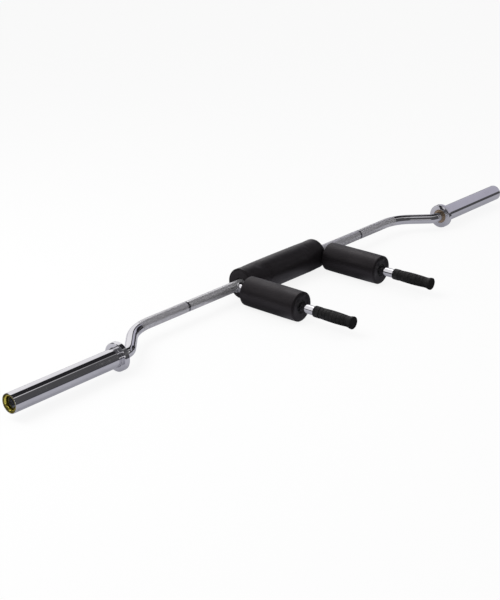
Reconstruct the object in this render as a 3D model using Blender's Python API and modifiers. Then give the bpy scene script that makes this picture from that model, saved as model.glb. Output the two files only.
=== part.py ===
# Safety squat bar: a cranked steel shaft with two forward arms, three padded rolls,
# two rubber grips, and on each end a sleeve for weight plates that turns in two bushes.
# Sizes are in metres. +X runs along the bar, the arms point to -Y and +Z is up.
# The origin is in the middle of the footprint, on the surface that the three rolls lie on.

import math

import bmesh
import bpy
from mathutils import Matrix, Vector

# Fits
FIT_GAP = 0.0003               # between two pieces that touch on the real bar
RUNNING_GAP = 0.0003           # between the journals and the bushes that turn on them

# Shaft
SHAFT_DIAMETER = 0.030
STRAIGHT_HALF = 0.5885         # middle of the bar to the corner of the first bend
CRANK_RUN = 0.0985             # first corner to second corner, along the bar
CRANK_FORWARD = 0.088          # how far the sleeves sit in front of the straight
CRANK_DROP = 0.003             # how far the sleeves sit below the straight
FIRST_BEND_RADIUS = 0.145      # from the straight into the crank, to the shaft's centre line
SECOND_BEND_RADIUS = 0.040     # from the crank into the lead
SLEEVE_LEAD = 0.035            # second corner to the collar's inner face
JOURNAL_DIAMETER = 0.025
JOURNAL_OVERLAP = 0.010        # how far the journal is carried into the thicker shaft
JOURNAL_CHAMFER = 0.001
CENTRE_HOLE_DIAMETER = 0.0035  # the lathe centre in the shaft's end
CENTRE_HOLE_DEPTH = 0.0025

# Sleeve and collar
SLEEVE_DIAMETER = 0.050
SLEEVE_WALL = 0.003
SLEEVE_CHAMFER = 0.0008
LOADING_LENGTH = 0.330         # collar's outer face to the end of the sleeve
COLLAR_DIAMETER = 0.075
COLLAR_THICKNESS = 0.015
COLLAR_LIP = 0.003             # covers the inner end of the sleeve's tube
COLLAR_CHAMFER = 0.0018
COLLAR_BACK_CHAMFER = 0.001
COLLAR_FILLET = 0.0025         # weld fillet from the collar's face to the tube
FILLET_TOE = 0.0004

# Bushes, washer and circlip
INNER_BUSH_LENGTH = 0.040
INNER_BUSH_INSET = 0.0005
OUTER_BUSH_LENGTH = 0.045
OUTER_BUSH_INSET = 0.001
RING_MOUTH = 0.0043            # radius of the rounded mouth of the brass end ring
POCKET_DIAMETER = 0.033
JOURNAL_INSET = 0.0065         # end of the sleeve to the end of the shaft
CIRCLIP_INSET = 0.0018         # end of the shaft to the circlip's groove
CIRCLIP_THICKNESS = 0.0012
CIRCLIP_WIDTH = 0.0028
CIRCLIP_OPENING = 0.0060
CIRCLIP_LUG = 0.0036           # width of each lug, along the ring
CIRCLIP_LUG_RISE = 0.0010      # how far a lug stands out past the ring
CIRCLIP_HOLE = 0.0014
GROOVE_DEPTH = 0.0010
WASHER_THICKNESS = 0.0020
WASHER_WIDTH = 0.0030

# Arms
ARM_SPACING = 0.370            # middle of one arm to the middle of the other
ARM_DIAMETER = 0.0254
ARM_WALL = 0.0025
ARM_FOOT = 0.0025              # from the shaft's axis to the foot of the tube, before it is coped
WELD_BEAD = 0.0050             # thickness of the bead round the foot of an arm
WELD_STAND = 0.0008            # from the tube's outside to the middle of the bead
WELD_LEAST_REACH = 0.0050      # from the shaft's axis to the bead where it passes below the shaft
BARE_TUBE = 0.0475             # chromed tube that shows between a roll and its grip

# Rolls
COVER_THICKNESS = 0.0015
COVER_CROWN = 0.0006           # how much thinner a roll is at its ends
COVER_HOLE_DIAMETER = 0.035    # the hole that shows in a roll's end face
FOAM_BEVEL = 0.3               # share of a foam corner that its middle facet cuts away
NECK_ROLL_DIAMETER = 0.091
NECK_ROLL_EDGE = 0.003
NECK_ROLL_GAP = 0.0043         # from each end of the neck roll to the arm beside it
SHOULDER_ROLL_DIAMETER = 0.085
SHOULDER_ROLL_EDGE = 0.003
SHOULDER_ROLL_LENGTH = 0.186
SHOULDER_ROLL_GAP = 0.0010     # from the neck roll to the end of a shoulder roll
REST_FLAT = 0.0005             # how far a roll is pressed flat where it lies
FLAP_WIDTH = 0.030             # closing flap along the back of the neck roll
FLAP_THICKNESS = 0.0012
FLAP_MARGIN = 0.020            # from each end of the neck roll to the flap
FLAP_ANGLE = math.radians(50)  # from straight down towards the back
FOAM_SLIT = 0.0015

# Grips, with each wall measured out from the bore that fits the arm's tube
GRIP_LENGTH = 0.129
GRIP_LIP = 0.0195              # length of the smooth band at the open end
GRIP_LIP_WALL = 0.0028
GRIP_LIP_CHAMFER = 0.0012
GRIP_RIB_WALL = 0.0021         # over the ribs, at both ends of the ribbed length
GRIP_BARREL = 0.0013           # how much thicker the ribbed length is in its middle
GRIP_RIBS = 7
GRIP_RIB_PITCH = 0.0120
GRIP_GROOVE_WIDTH = 0.0035     # between two ribs
GRIP_GROOVE_DEPTH = 0.0008
GRIP_NECK_WALL = 0.0020
GRIP_FLANGE_RISE = 0.0024      # from the neck out to the flange's edge
GRIP_FLANGE_LENGTH = 0.0135    # length of the flare between them
GRIP_FLANGE_EDGE = 0.0030
GRIP_DOME = 0.0035             # height of the domed end
GRIP_END_WALL = 0.0045

# Facets round each kind of piece
SHAFT_SIDES = 24
BEND_STEPS = 8
SLEEVE_SIDES = 40
BUSH_SIDES = 32
ROLL_SIDES = 32
ARM_SIDES = 24
GRIP_SIDES = 22
EDGE_STEPS = 3
DOME_STEPS = 3
FLARE_STEPS = 3
CROWN_STATIONS = (0.6, 0.0, -0.6)
BEAD_POINTS = 24
BEAD_RESOLUTION = 1
HOLE_SIDES = 8
MERGE = 0.00001
SMOOTH_ANGLE = math.radians(35)

# Sizes that follow from those above
SHAFT_RADIUS = SHAFT_DIAMETER / 2
JOURNAL_RADIUS = JOURNAL_DIAMETER / 2
SLEEVE_RADIUS = SLEEVE_DIAMETER / 2
SLEEVE_BORE = SLEEVE_RADIUS - SLEEVE_WALL
ARM_RADIUS = ARM_DIAMETER / 2
NECK_RADIUS = NECK_ROLL_DIAMETER / 2
SHOULDER_RADIUS = SHOULDER_ROLL_DIAMETER / 2
NECK_ROLL_LENGTH = ARM_SPACING - ARM_DIAMETER - 2 * NECK_ROLL_GAP
ARM_DROP = NECK_RADIUS - SHOULDER_RADIUS
COLLAR_X = STRAIGHT_HALF + CRANK_RUN + SLEEVE_LEAD
SLEEVE_END = COLLAR_THICKNESS + LOADING_LENGTH
SHAFT_END = SLEEVE_END - JOURNAL_INSET
SHOULDER_START = NECK_RADIUS + SHOULDER_ROLL_GAP
SHOULDER_END = SHOULDER_START + SHOULDER_ROLL_LENGTH
GRIP_START = SHOULDER_END + BARE_TUBE
GRIP_END = GRIP_START + GRIP_LENGTH
SHAFT_Y = (GRIP_END - NECK_RADIUS) / 2
SHAFT_Z = NECK_RADIUS - REST_FLAT


def clear_scene():
    for item in list(bpy.data.objects):
        bpy.data.objects.remove(item, do_unlink=True)


def new_collection(name):
    collection = bpy.data.collections.new(name)
    bpy.context.scene.collection.children.link(collection)
    return collection


def new_material(name, colour, roughness, metallic):
    material = bpy.data.materials.new(name)
    material.use_nodes = True
    shader = material.node_tree.nodes["Principled BSDF"]
    shader.inputs["Base Color"].default_value = (*colour, 1.0)
    shader.inputs["Roughness"].default_value = roughness
    shader.inputs["Metallic"].default_value = metallic
    return material


def add_object(name, data, collection, finish=None):
    item = bpy.data.objects.new(name, data)
    collection.objects.link(item)
    if finish is not None:
        data.materials.append(new_material(name, *finish))
    return item


def turned(name, profile, sides, place, collection, finish=None):
    """A profile of (radius, height) points, down its outer side, turned about its own Z axis."""
    mesh = bpy.data.meshes.new(name)
    points = [(radius, 0.0, height) for radius, height in profile]
    edges = [(i, i + 1) for i in range(len(points) - 1)]
    if profile[0][0] > 0.0:
        edges.append((len(points) - 1, 0))
    mesh.from_pydata(points, edges, [])
    item = add_object(name, mesh, collection, finish)
    item.matrix_world = place
    screw = item.modifiers.new("turn", "SCREW")
    screw.angle = 2 * math.pi
    screw.steps = sides
    screw.render_steps = sides
    screw.use_merge_vertices = True
    screw.merge_threshold = MERGE
    screw.use_smooth_shade = True
    return item


def curve_to_mesh(curve_object, finish=None):
    """Turn a curve's tube or plate into a welded mesh object of the same name and place."""
    bpy.context.view_layer.update()
    graph = bpy.context.evaluated_depsgraph_get()
    mesh = bpy.data.meshes.new_from_object(curve_object.evaluated_get(graph))
    name = curve_object.name
    place = curve_object.matrix_world.copy()
    collection = curve_object.users_collection[0]
    bpy.data.objects.remove(curve_object, do_unlink=True)
    work = bmesh.new()
    work.from_mesh(mesh)
    bmesh.ops.remove_doubles(work, verts=work.verts, dist=MERGE)
    bmesh.ops.recalc_face_normals(work, faces=work.faces)
    work.to_mesh(mesh)
    work.free()
    mesh.shade_smooth()
    mesh.set_sharp_from_angle(angle=SMOOTH_ANGLE)
    item = add_object(name, mesh, collection, finish)
    item.matrix_world = place
    return item


def tube(name, points, radius, resolution, collection, cyclic=False, finish=None):
    curve = bpy.data.curves.new(name, "CURVE")
    curve.dimensions = "3D"
    curve.bevel_depth = radius
    curve.bevel_resolution = resolution
    curve.use_fill_caps = not cyclic
    spline = curve.splines.new("POLY")
    spline.points.add(len(points) - 1)
    for target, point in zip(spline.points, points):
        target.co = (*point, 1.0)
    spline.use_cyclic_u = cyclic
    item = add_object(name, curve, collection)
    return curve_to_mesh(item, finish)


def plate(name, outlines, thickness, place, collection, finish=None):
    """A flat piece from closed outlines; the second and later ones are holes."""
    curve = bpy.data.curves.new(name, "CURVE")
    curve.dimensions = "2D"
    curve.fill_mode = "BOTH"
    curve.extrude = thickness / 2
    for outline in outlines:
        spline = curve.splines.new("POLY")
        spline.points.add(len(outline) - 1)
        for target, (x, y) in zip(spline.points, outline):
            target.co = (x, y, 0.0, 1.0)
        spline.use_cyclic_u = True
    item = add_object(name, curve, collection)
    item.matrix_world = place
    return curve_to_mesh(item, finish)


def box(name, size, place, collection):
    bpy.ops.mesh.primitive_cube_add(size=1.0)
    item = bpy.context.active_object
    item.name = name
    for vertex in item.data.vertices:
        vertex.co = Vector(vertex.co[i] * size[i] for i in range(3))
    item.matrix_world = place
    for holder in list(item.users_collection):
        holder.objects.unlink(item)
    collection.objects.link(item)
    return item


def as_cutter(item):
    item.hide_render = True
    item.display_type = "WIRE"
    return item


def combine(item, other, operation):
    boolean = item.modifiers.new(other.name, "BOOLEAN")
    boolean.operation = operation
    boolean.solver = "EXACT"
    boolean.object = other


def rounded_route(corners, radii, steps):
    """The corners joined by straight runs, with each inner corner rounded to its radius."""
    route = [Vector(corners[0])]
    for before, corner, after, radius in zip(corners, corners[1:], corners[2:], radii):
        corner = Vector(corner)
        back = (Vector(before) - corner).normalized()
        ahead = (Vector(after) - corner).normalized()
        half = back.angle(ahead) / 2
        tangent = radius / math.tan(half)
        centre = corner + (back + ahead).normalized() * radius / math.sin(half)
        start = corner + back * tangent - centre
        normal = start.cross(corner + ahead * tangent - centre).normalized()
        sweep = math.pi - 2 * half
        for step in range(steps + 1):
            turn = Matrix.Rotation(sweep * step / steps, 3, normal)
            route.append(centre + turn @ start)
    route.append(Vector(corners[-1]))
    return route


def sleeve_place(side):
    """Local Z points out along the sleeve, from the collar's inner face."""
    centre = Vector((side * COLLAR_X, SHAFT_Y - CRANK_FORWARD, SHAFT_Z - CRANK_DROP))
    return Matrix.Translation(centre) @ Matrix.Rotation(side * math.pi / 2, 4, "Y")


def arm_place(side):
    """Local Z points forward along the arm, from under the shaft's axis."""
    foot = Vector((side * ARM_SPACING / 2, SHAFT_Y, SHAFT_Z - ARM_DROP))
    return Matrix.Translation(foot) @ Matrix.Rotation(math.pi / 2, 4, "X")


def neck_place():
    """Local Z points to +X along the straight of the shaft."""
    return Matrix.Translation((0.0, SHAFT_Y, SHAFT_Z)) @ Matrix.Rotation(math.pi / 2, 4, "Y")


def groove_heights():
    """Top and bottom of the circlip's groove, measured out from the collar's inner face."""
    top = SHAFT_END - CIRCLIP_INSET
    bottom = top - CIRCLIP_THICKNESS - 2 * FIT_GAP
    return top, bottom


def washer_heights():
    bottom_of_groove = groove_heights()[1]
    return bottom_of_groove, bottom_of_groove - WASHER_THICKNESS


def journal_profile():
    top, bottom = groove_heights()
    groove = JOURNAL_RADIUS - GROOVE_DEPTH
    foot = INNER_BUSH_INSET - FIT_GAP - JOURNAL_OVERLAP
    return [
        (0.0, SHAFT_END - CENTRE_HOLE_DEPTH),
        (CENTRE_HOLE_DIAMETER / 2, SHAFT_END),
        (JOURNAL_RADIUS - JOURNAL_CHAMFER, SHAFT_END),
        (JOURNAL_RADIUS, SHAFT_END - JOURNAL_CHAMFER),
        (JOURNAL_RADIUS, top),
        (groove, top),
        (groove, bottom),
        (JOURNAL_RADIUS, bottom),
        (JOURNAL_RADIUS, foot),
        (0.0, foot),
    ]


def make_shaft(parts, cutters):
    """One bar, bent twice on each side and turned down to a journal at each end."""
    shoulder = COLLAR_X + INNER_BUSH_INSET - FIT_GAP
    front = SHAFT_Y - CRANK_FORWARD
    low = SHAFT_Z - CRANK_DROP
    right = [
        (STRAIGHT_HALF, SHAFT_Y, SHAFT_Z),
        (STRAIGHT_HALF + CRANK_RUN, front, low),
        (shoulder, front, low),
    ]
    left = [(-x, y, z) for x, y, z in reversed(right)]
    radii = (SECOND_BEND_RADIUS, FIRST_BEND_RADIUS, FIRST_BEND_RADIUS, SECOND_BEND_RADIUS)
    route = rounded_route(left + right, radii, BEND_STEPS)
    resolution = (SHAFT_SIDES - 4) // 2
    steel = ((0.55, 0.55, 0.57), 0.25, 1.0)
    shaft = tube("shaft", route, SHAFT_RADIUS, resolution, parts, finish=steel)
    for side, word in ((-1, "left"), (1, "right")):
        journal = turned(word + "_journal", journal_profile(), BUSH_SIDES, sleeve_place(side), cutters)
        combine(shaft, as_cutter(journal), "UNION")


def arm_profile():
    inner = ARM_RADIUS - ARM_WALL
    top = GRIP_END - GRIP_END_WALL - FIT_GAP
    return [(ARM_RADIUS, top), (ARM_RADIUS, ARM_FOOT), (inner, ARM_FOOT), (inner, top)]


def bead_points():
    """The line where an arm's tube meets the shaft, a little outside the tube."""
    ring = ARM_RADIUS + WELD_STAND
    points = []
    for step in range(BEAD_POINTS):
        angle = 2 * math.pi * step / BEAD_POINTS
        across = ring * math.sin(angle)
        height = ring * math.cos(angle)
        level = height - ARM_DROP
        reach = math.sqrt(max(SHAFT_RADIUS ** 2 - level ** 2, WELD_LEAST_REACH ** 2))
        points.append((across, height, reach))
    return points


def make_arms(parts, cutters):
    chrome = ((0.70, 0.70, 0.72), 0.12, 1.0)
    seat_place = Matrix.Translation((0.0, SHAFT_Y, SHAFT_Z)) @ Matrix.Rotation(math.pi / 2, 4, "Y")
    seat_half = ARM_SPACING
    seat_radius = SHAFT_RADIUS + FIT_GAP
    seat_profile = [(0.0, seat_half), (seat_radius, seat_half), (seat_radius, -seat_half), (0.0, -seat_half)]
    seat = as_cutter(turned("arm_seat", seat_profile, SLEEVE_SIDES, seat_place, cutters))
    for side, word in ((-1, "left"), (1, "right")):
        arm = turned(word + "_arm", arm_profile(), ARM_SIDES, arm_place(side), parts, chrome)
        bead = tube(word + "_bead", bead_points(), WELD_BEAD / 2, BEAD_RESOLUTION, cutters, cyclic=True)
        bead.matrix_world = arm_place(side)
        combine(arm, as_cutter(bead), "UNION")
        combine(arm, seat, "DIFFERENCE")


def roll_profile(radius, edge, bottom, top):
    """Outer side of a padded roll, crowned along its length, with rounded ends."""
    half = (top - bottom) / 2
    middle = (top + bottom) / 2
    end_radius = radius - COVER_CROWN

    def crowned(height):
        return radius - COVER_CROWN * ((height - middle) / (half - edge)) ** 4

    upper = []
    for step in range(EDGE_STEPS + 1):
        angle = math.pi / 2 * (1 - step / EDGE_STEPS)
        upper.append((end_radius - edge + edge * math.cos(angle), top - edge + edge * math.sin(angle)))
    body = []
    for share in CROWN_STATIONS:
        height = middle + share * (half - edge)
        body.append((crowned(height), height))
    lower = [(r, 2 * middle - z) for r, z in reversed(upper)]
    return upper + body + lower


def cover_profile(radius, edge, bottom, top):
    """The vinyl cover as one skin, with a round hole in each end face."""
    hole = COVER_HOLE_DIAMETER / 2
    wall = COVER_THICKNESS
    outside = roll_profile(radius, edge, bottom, top)
    inside = foam_profile(radius + FIT_GAP, edge + FIT_GAP, bottom - FIT_GAP, top + FIT_GAP)
    inner_top = top - wall
    inner_bottom = bottom + wall
    skin = [(hole, top)] + outside + [(hole, bottom), (hole, inner_bottom)]
    return skin + list(reversed(inside)) + [(hole, inner_top)]


def foam_profile(radius, edge, bottom, top):
    """The outer side of the foam: the roll's shape inside its cover."""
    inset = COVER_THICKNESS + FIT_GAP
    corner = edge - inset
    bevel = corner * FOAM_BEVEL
    outer = radius - COVER_CROWN - inset
    end_top = top - inset
    end_bottom = bottom + inset
    middle = (top + bottom) / 2
    return [
        (outer - corner, end_top),
        (outer - bevel, end_top - bevel),
        (outer, end_top - corner),
        (radius - inset, middle),
        (outer, end_bottom + corner),
        (outer - bevel, end_bottom + bevel),
        (outer - corner, end_bottom),
    ]


def make_roll(name, radius, edge, bottom, top, tube_radius, place, floor, parts):
    """A foam tube and its cover. The cover is pressed flat where the roll lies."""
    bore = tube_radius + FIT_GAP
    vinyl = ((0.025, 0.025, 0.028), 0.45, 0.0)
    foam = ((0.12, 0.12, 0.12), 0.9, 0.0)
    outside = foam_profile(radius, edge, bottom, top)
    core = [(bore, outside[0][1])] + outside + [(bore, outside[-1][1])]
    foam_roll = turned(name + "_foam", core, ROLL_SIDES, place, parts, foam)
    cover = turned(name + "_cover", cover_profile(radius, edge, bottom, top), ROLL_SIDES, place, parts, vinyl)
    combine(cover, floor, "DIFFERENCE")
    return foam_roll


def make_neck_roll(floor, parts, cutters):
    half = NECK_ROLL_LENGTH / 2
    place = neck_place()
    foam = make_roll("neck_roll", NECK_RADIUS, NECK_ROLL_EDGE, -half, half, SHAFT_RADIUS, place, floor, parts)
    lean = Matrix.Translation((0.0, SHAFT_Y, SHAFT_Z)) @ Matrix.Rotation(FLAP_ANGLE, 4, "X")
    below = Matrix.Translation((0.0, 0.0, -NECK_RADIUS))
    slit = box("neck_foam_slit", (2 * NECK_ROLL_LENGTH, FOAM_SLIT, 2 * NECK_RADIUS), lean @ below, cutters)
    combine(foam, as_cutter(slit), "DIFFERENCE")
    outer = roll_profile(NECK_RADIUS + FIT_GAP + FLAP_THICKNESS, NECK_ROLL_EDGE, -half, half)
    inner = roll_profile(NECK_RADIUS + FIT_GAP, NECK_ROLL_EDGE, -half, half)
    shell = outer[EDGE_STEPS:-EDGE_STEPS] + list(reversed(inner[EDGE_STEPS:-EDGE_STEPS]))
    vinyl = ((0.025, 0.025, 0.028), 0.5, 0.0)
    flap = turned("neck_roll_flap", shell, ROLL_SIDES * 2, place, parts, vinyl)
    window_size = (NECK_ROLL_LENGTH - 2 * FLAP_MARGIN, FLAP_WIDTH, NECK_RADIUS)
    window = box("neck_flap_window", window_size, lean @ below, cutters)
    combine(flap, as_cutter(window), "INTERSECT")


def make_shoulder_rolls(floor, parts):
    for side, word in ((-1, "left"), (1, "right")):
        name = word + "_shoulder_roll"
        make_roll(name, SHOULDER_RADIUS, SHOULDER_ROLL_EDGE, SHOULDER_START, SHOULDER_END,
                  ARM_RADIUS, arm_place(side), floor, parts)


def grip_profile():
    """A rubber sleeve with a domed, flanged end, a ribbed barrel and a smooth open end."""
    bore = ARM_RADIUS + FIT_GAP
    lip = bore + GRIP_LIP_WALL
    neck = bore + GRIP_NECK_WALL
    flange = neck + GRIP_FLANGE_RISE
    edge_top = GRIP_END - GRIP_DOME
    edge_bottom = edge_top - GRIP_FLANGE_EDGE
    lip_end = GRIP_START + GRIP_LIP
    half = GRIP_RIBS * GRIP_RIB_PITCH / 2
    land = (GRIP_RIB_PITCH - GRIP_GROOVE_WIDTH) / 2

    def barrel(height):
        share = (height - lip_end - half) / half
        return bore + GRIP_RIB_WALL + GRIP_BARREL * (1 - share ** 2)

    points = []
    for step in range(DOME_STEPS + 1):
        angle = math.pi / 2 * step / DOME_STEPS
        points.append((flange * math.sin(angle), edge_top + GRIP_DOME * math.cos(angle)))
    for step in range(FLARE_STEPS + 1):
        share = step / FLARE_STEPS
        radius = neck + (flange - neck) * (1 + math.cos(math.pi * share)) / 2
        points.append((radius, edge_bottom - GRIP_FLANGE_LENGTH * share))
    for rib in reversed(range(GRIP_RIBS)):
        crest = lip_end + (rib + 0.5) * GRIP_RIB_PITCH
        groove = crest + GRIP_RIB_PITCH / 2
        points.append((barrel(groove) - GRIP_GROOVE_DEPTH, groove))
        points.append((barrel(crest + land), crest + land))
        points.append((barrel(crest - land), crest - land))
    points += [
        (barrel(lip_end) - GRIP_GROOVE_DEPTH, lip_end),
        (lip, lip_end - GRIP_GROOVE_DEPTH),
        (lip, GRIP_START + GRIP_LIP_CHAMFER),
        (lip - GRIP_LIP_CHAMFER, GRIP_START),
        (bore, GRIP_START),
        (bore, GRIP_END - GRIP_END_WALL),
        (0.0, GRIP_END - GRIP_END_WALL),
    ]
    return points


def make_grips(parts):
    rubber = ((0.02, 0.02, 0.02), 0.7, 0.0)
    for side, word in ((-1, "left"), (1, "right")):
        turned(word + "_grip", grip_profile(), GRIP_SIDES, arm_place(side), parts, rubber)


def tube_profile():
    start = COLLAR_LIP + FIT_GAP
    return [
        (SLEEVE_RADIUS - SLEEVE_CHAMFER, SLEEVE_END),
        (SLEEVE_RADIUS, SLEEVE_END - SLEEVE_CHAMFER),
        (SLEEVE_RADIUS, start),
        (SLEEVE_BORE, start),
        (SLEEVE_BORE, SLEEVE_END),
    ]


def collar_profile():
    """A ring over the tube's inner end, with a lip behind it and a fillet in front."""
    outer = COLLAR_DIAMETER / 2
    face = COLLAR_THICKNESS
    seat = SLEEVE_RADIUS + FIT_GAP
    toe = seat + FILLET_TOE
    middle = COLLAR_FILLET * (1 - math.sqrt(0.5))
    return [
        (toe, face + COLLAR_FILLET),
        (toe + middle, face + middle),
        (toe + COLLAR_FILLET, face),
        (outer - COLLAR_CHAMFER, face),
        (outer, face - COLLAR_CHAMFER),
        (outer, COLLAR_BACK_CHAMFER),
        (outer - COLLAR_BACK_CHAMFER, 0.0),
        (SLEEVE_BORE, 0.0),
        (SLEEVE_BORE, COLLAR_LIP),
        (seat, COLLAR_LIP),
        (seat, face + COLLAR_FILLET),
    ]


def inner_bush_profile():
    outer = SLEEVE_BORE - FIT_GAP
    bore = JOURNAL_RADIUS + RUNNING_GAP
    low = INNER_BUSH_INSET
    high = INNER_BUSH_INSET + INNER_BUSH_LENGTH
    return [(outer, high), (outer, low), (bore, low), (bore, high)]


def outer_bush_profile():
    """A brass bush that ends in the bright ring with a rounded mouth."""
    outer = SLEEVE_BORE - FIT_GAP
    bore = JOURNAL_RADIUS + RUNNING_GAP
    pocket = POCKET_DIAMETER / 2
    top = SLEEVE_END - OUTER_BUSH_INSET
    bottom = top - OUTER_BUSH_LENGTH
    floor = washer_heights()[1] - FIT_GAP
    mouth = []
    for step in range(EDGE_STEPS + 2):
        angle = math.pi / 2 * step / (EDGE_STEPS + 1)
        radius = pocket + RING_MOUTH * (1 - math.cos(angle))
        mouth.append((radius, top - RING_MOUTH * (1 - math.sin(angle))))
    return [(outer, top), (outer, bottom), (bore, bottom), (bore, floor), (pocket, floor)] + mouth


def washer_profile():
    top, bottom = washer_heights()
    top -= FIT_GAP / 2
    bore = JOURNAL_RADIUS + FIT_GAP
    outer = bore + WASHER_WIDTH
    return [(outer, top), (outer, bottom), (bore, bottom), (bore, top)]


def circlip_outlines():
    """A split ring with a drilled lug on each side of its opening."""
    inner = JOURNAL_RADIUS - GROOVE_DEPTH + FIT_GAP
    outer = inner + CIRCLIP_WIDTH
    lug = outer + CIRCLIP_LUG_RISE
    start = CIRCLIP_OPENING / 2 / outer
    lug_end = start + CIRCLIP_LUG / outer
    steps = BUSH_SIDES
    outline = [(lug, start), (lug, lug_end)]
    for step in range(steps + 1):
        outline.append((outer, lug_end + (2 * math.pi - 2 * lug_end) * step / steps))
    outline += [(lug, 2 * math.pi - lug_end), (lug, 2 * math.pi - start)]
    for step in range(steps + 1):
        outline.append((inner, 2 * math.pi - start - (2 * math.pi - 2 * start) * step / steps))
    ring = [(r * math.cos(a), r * math.sin(a)) for r, a in outline]
    outlines = [ring]
    middle = (inner + lug) / 2
    for angle in (start + CIRCLIP_LUG / outer / 2, -start - CIRCLIP_LUG / outer / 2):
        centre = (middle * math.cos(angle), middle * math.sin(angle))
        hole = []
        for step in range(HOLE_SIDES):
            turn = 2 * math.pi * step / HOLE_SIDES
            hole.append((centre[0] + CIRCLIP_HOLE / 2 * math.cos(turn),
                         centre[1] + CIRCLIP_HOLE / 2 * math.sin(turn)))
        outlines.append(hole)
    return outlines


def make_sleeve(side, word, parts):
    chrome = ((0.72, 0.72, 0.74), 0.08, 1.0)
    bronze = ((0.55, 0.38, 0.20), 0.35, 1.0)
    brass = ((0.80, 0.70, 0.28), 0.22, 1.0)
    steel = ((0.20, 0.20, 0.21), 0.40, 1.0)
    place = sleeve_place(side)
    axis = bpy.data.objects.new(word + "_sleeve_axis", None)
    parts.objects.link(axis)
    axis.matrix_world = place
    turning = [
        turned(word + "_sleeve_tube", tube_profile(), SLEEVE_SIDES, place, parts, chrome),
        turned(word + "_collar", collar_profile(), SLEEVE_SIDES, place, parts, chrome),
        turned(word + "_inner_bush", inner_bush_profile(), BUSH_SIDES, place, parts, bronze),
        turned(word + "_outer_bush", outer_bush_profile(), BUSH_SIDES, place, parts, brass),
    ]
    bpy.context.view_layer.update()
    for piece in turning:
        piece.parent = axis
        piece.matrix_parent_inverse = axis.matrix_world.inverted()
    turned(word + "_thrust_washer", washer_profile(), BUSH_SIDES, place, parts, steel)
    top, bottom = groove_heights()
    clip_place = place @ Matrix.Translation((0.0, 0.0, (top + bottom) / 2))
    plate(word + "_circlip", circlip_outlines(), CIRCLIP_THICKNESS, clip_place, parts, steel)


def main():
    clear_scene()
    parts = new_collection("safety_squat_bar")
    cutters = new_collection("safety_squat_bar_cutters")
    make_shaft(parts, cutters)
    make_arms(parts, cutters)
    length = 2 * (COLLAR_X + SLEEVE_END)
    depth = GRIP_END + NECK_RADIUS
    floor_place = Matrix.Translation((0.0, 0.0, -NECK_RADIUS / 2))
    floor = as_cutter(box("floor_cut", (length, 2 * depth, NECK_RADIUS), floor_place, cutters))
    make_neck_roll(floor, parts, cutters)
    make_shoulder_rolls(floor, parts)
    make_grips(parts)
    for side, word in ((-1, "left"), (1, "right")):
        make_sleeve(side, word, parts)


main()
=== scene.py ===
# %% [markdown]
# # A safety squat bar, dressed for its portrait
#
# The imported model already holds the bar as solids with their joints: a bent shaft, two
# welded arms, three padded rolls, two rubber grips and two sleeves that turn. Those solids
# are faceted and plain. In this notebook each one gets the surface that the real piece has.
# A reader who is learning Blender can run the cells from top to bottom.
#
# Everything is in metres, with +X along the bar, -Y the way the arms point, and +Z up.

# %% Load the frame
import math

import bmesh
import bpy
from mathutils import Matrix, Vector, noise
from mathutils.kdtree import KDTree


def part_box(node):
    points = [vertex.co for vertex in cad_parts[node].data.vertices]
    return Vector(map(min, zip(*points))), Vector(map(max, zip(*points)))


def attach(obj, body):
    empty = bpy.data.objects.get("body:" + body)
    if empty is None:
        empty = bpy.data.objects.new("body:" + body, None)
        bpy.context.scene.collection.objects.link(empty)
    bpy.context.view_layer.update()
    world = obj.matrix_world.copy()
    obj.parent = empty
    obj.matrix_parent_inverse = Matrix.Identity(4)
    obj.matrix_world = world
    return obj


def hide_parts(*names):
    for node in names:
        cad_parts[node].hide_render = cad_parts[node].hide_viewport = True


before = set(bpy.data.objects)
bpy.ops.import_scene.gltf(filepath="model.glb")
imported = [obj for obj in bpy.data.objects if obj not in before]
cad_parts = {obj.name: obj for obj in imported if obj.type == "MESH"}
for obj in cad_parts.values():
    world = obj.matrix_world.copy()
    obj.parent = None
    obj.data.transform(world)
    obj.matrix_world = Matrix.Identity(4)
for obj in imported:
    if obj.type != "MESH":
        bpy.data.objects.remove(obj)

scene = bpy.context.scene
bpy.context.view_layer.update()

# %% [markdown]
# ## Where things are
#
# The frame says where every solid lies, so the axes that the new pieces are turned about
# are read from it and not typed in again. A turned piece has its axis in the middle of
# its box. Only the sizes that a box can't tell, such as a wall or a bore, are named here.

# %% Read the axes and the ends from the frame
MM = 0.001


def middle(node):
    low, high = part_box(node)
    return (low + high) / 2


shaft_y = middle("neck_roll_foam").y
shaft_z = middle("neck_roll_foam").z
sleeve_y = middle("right_sleeve_tube").y
sleeve_z = middle("right_sleeve_tube").z
arm_x = middle("right_grip").x
arm_z = middle("right_grip").z
collar_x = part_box("right_collar")[0].x
sleeve_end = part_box("right_sleeve_tube")[1].x - collar_x
grip_end = shaft_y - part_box("right_grip")[0].y
grip_start = shaft_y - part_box("right_grip")[1].y
roll_start = shaft_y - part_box("right_shoulder_roll_cover")[1].y
roll_end = shaft_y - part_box("right_shoulder_roll_cover")[0].y
neck_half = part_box("neck_roll_cover")[1].x
print("shaft axis", round(shaft_y, 5), round(shaft_z, 5))
print("sleeve axis", round(sleeve_y, 5), round(sleeve_z, 5))
print("arms at x", round(arm_x, 5), "collar at x", round(collar_x, 5), "sleeve length", round(sleeve_end, 5))

# %% [markdown]
# ## The camera
#
# The photograph was taken with a long lens from the bar's left front, a little above it.
# The camera is made first, because every later choice is judged through it. It is placed
# the way one would say it: how far round, how high, how far away, and what it looks at.

# %% Set up the camera
CAMERA_AZIMUTH = math.radians(-49.233)   # 0 looks along +Y, and less than 0 stands to the left
CAMERA_ELEVATION = math.radians(21.846)
CAMERA_DISTANCE = 3.63
CAMERA_TARGET = Vector((-0.0843, 0.2190, -0.0384))
CAMERA_LENS = 75.04                      # for a 36 mm frame height
CAMERA_ROLL = math.radians(-0.231)


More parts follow.
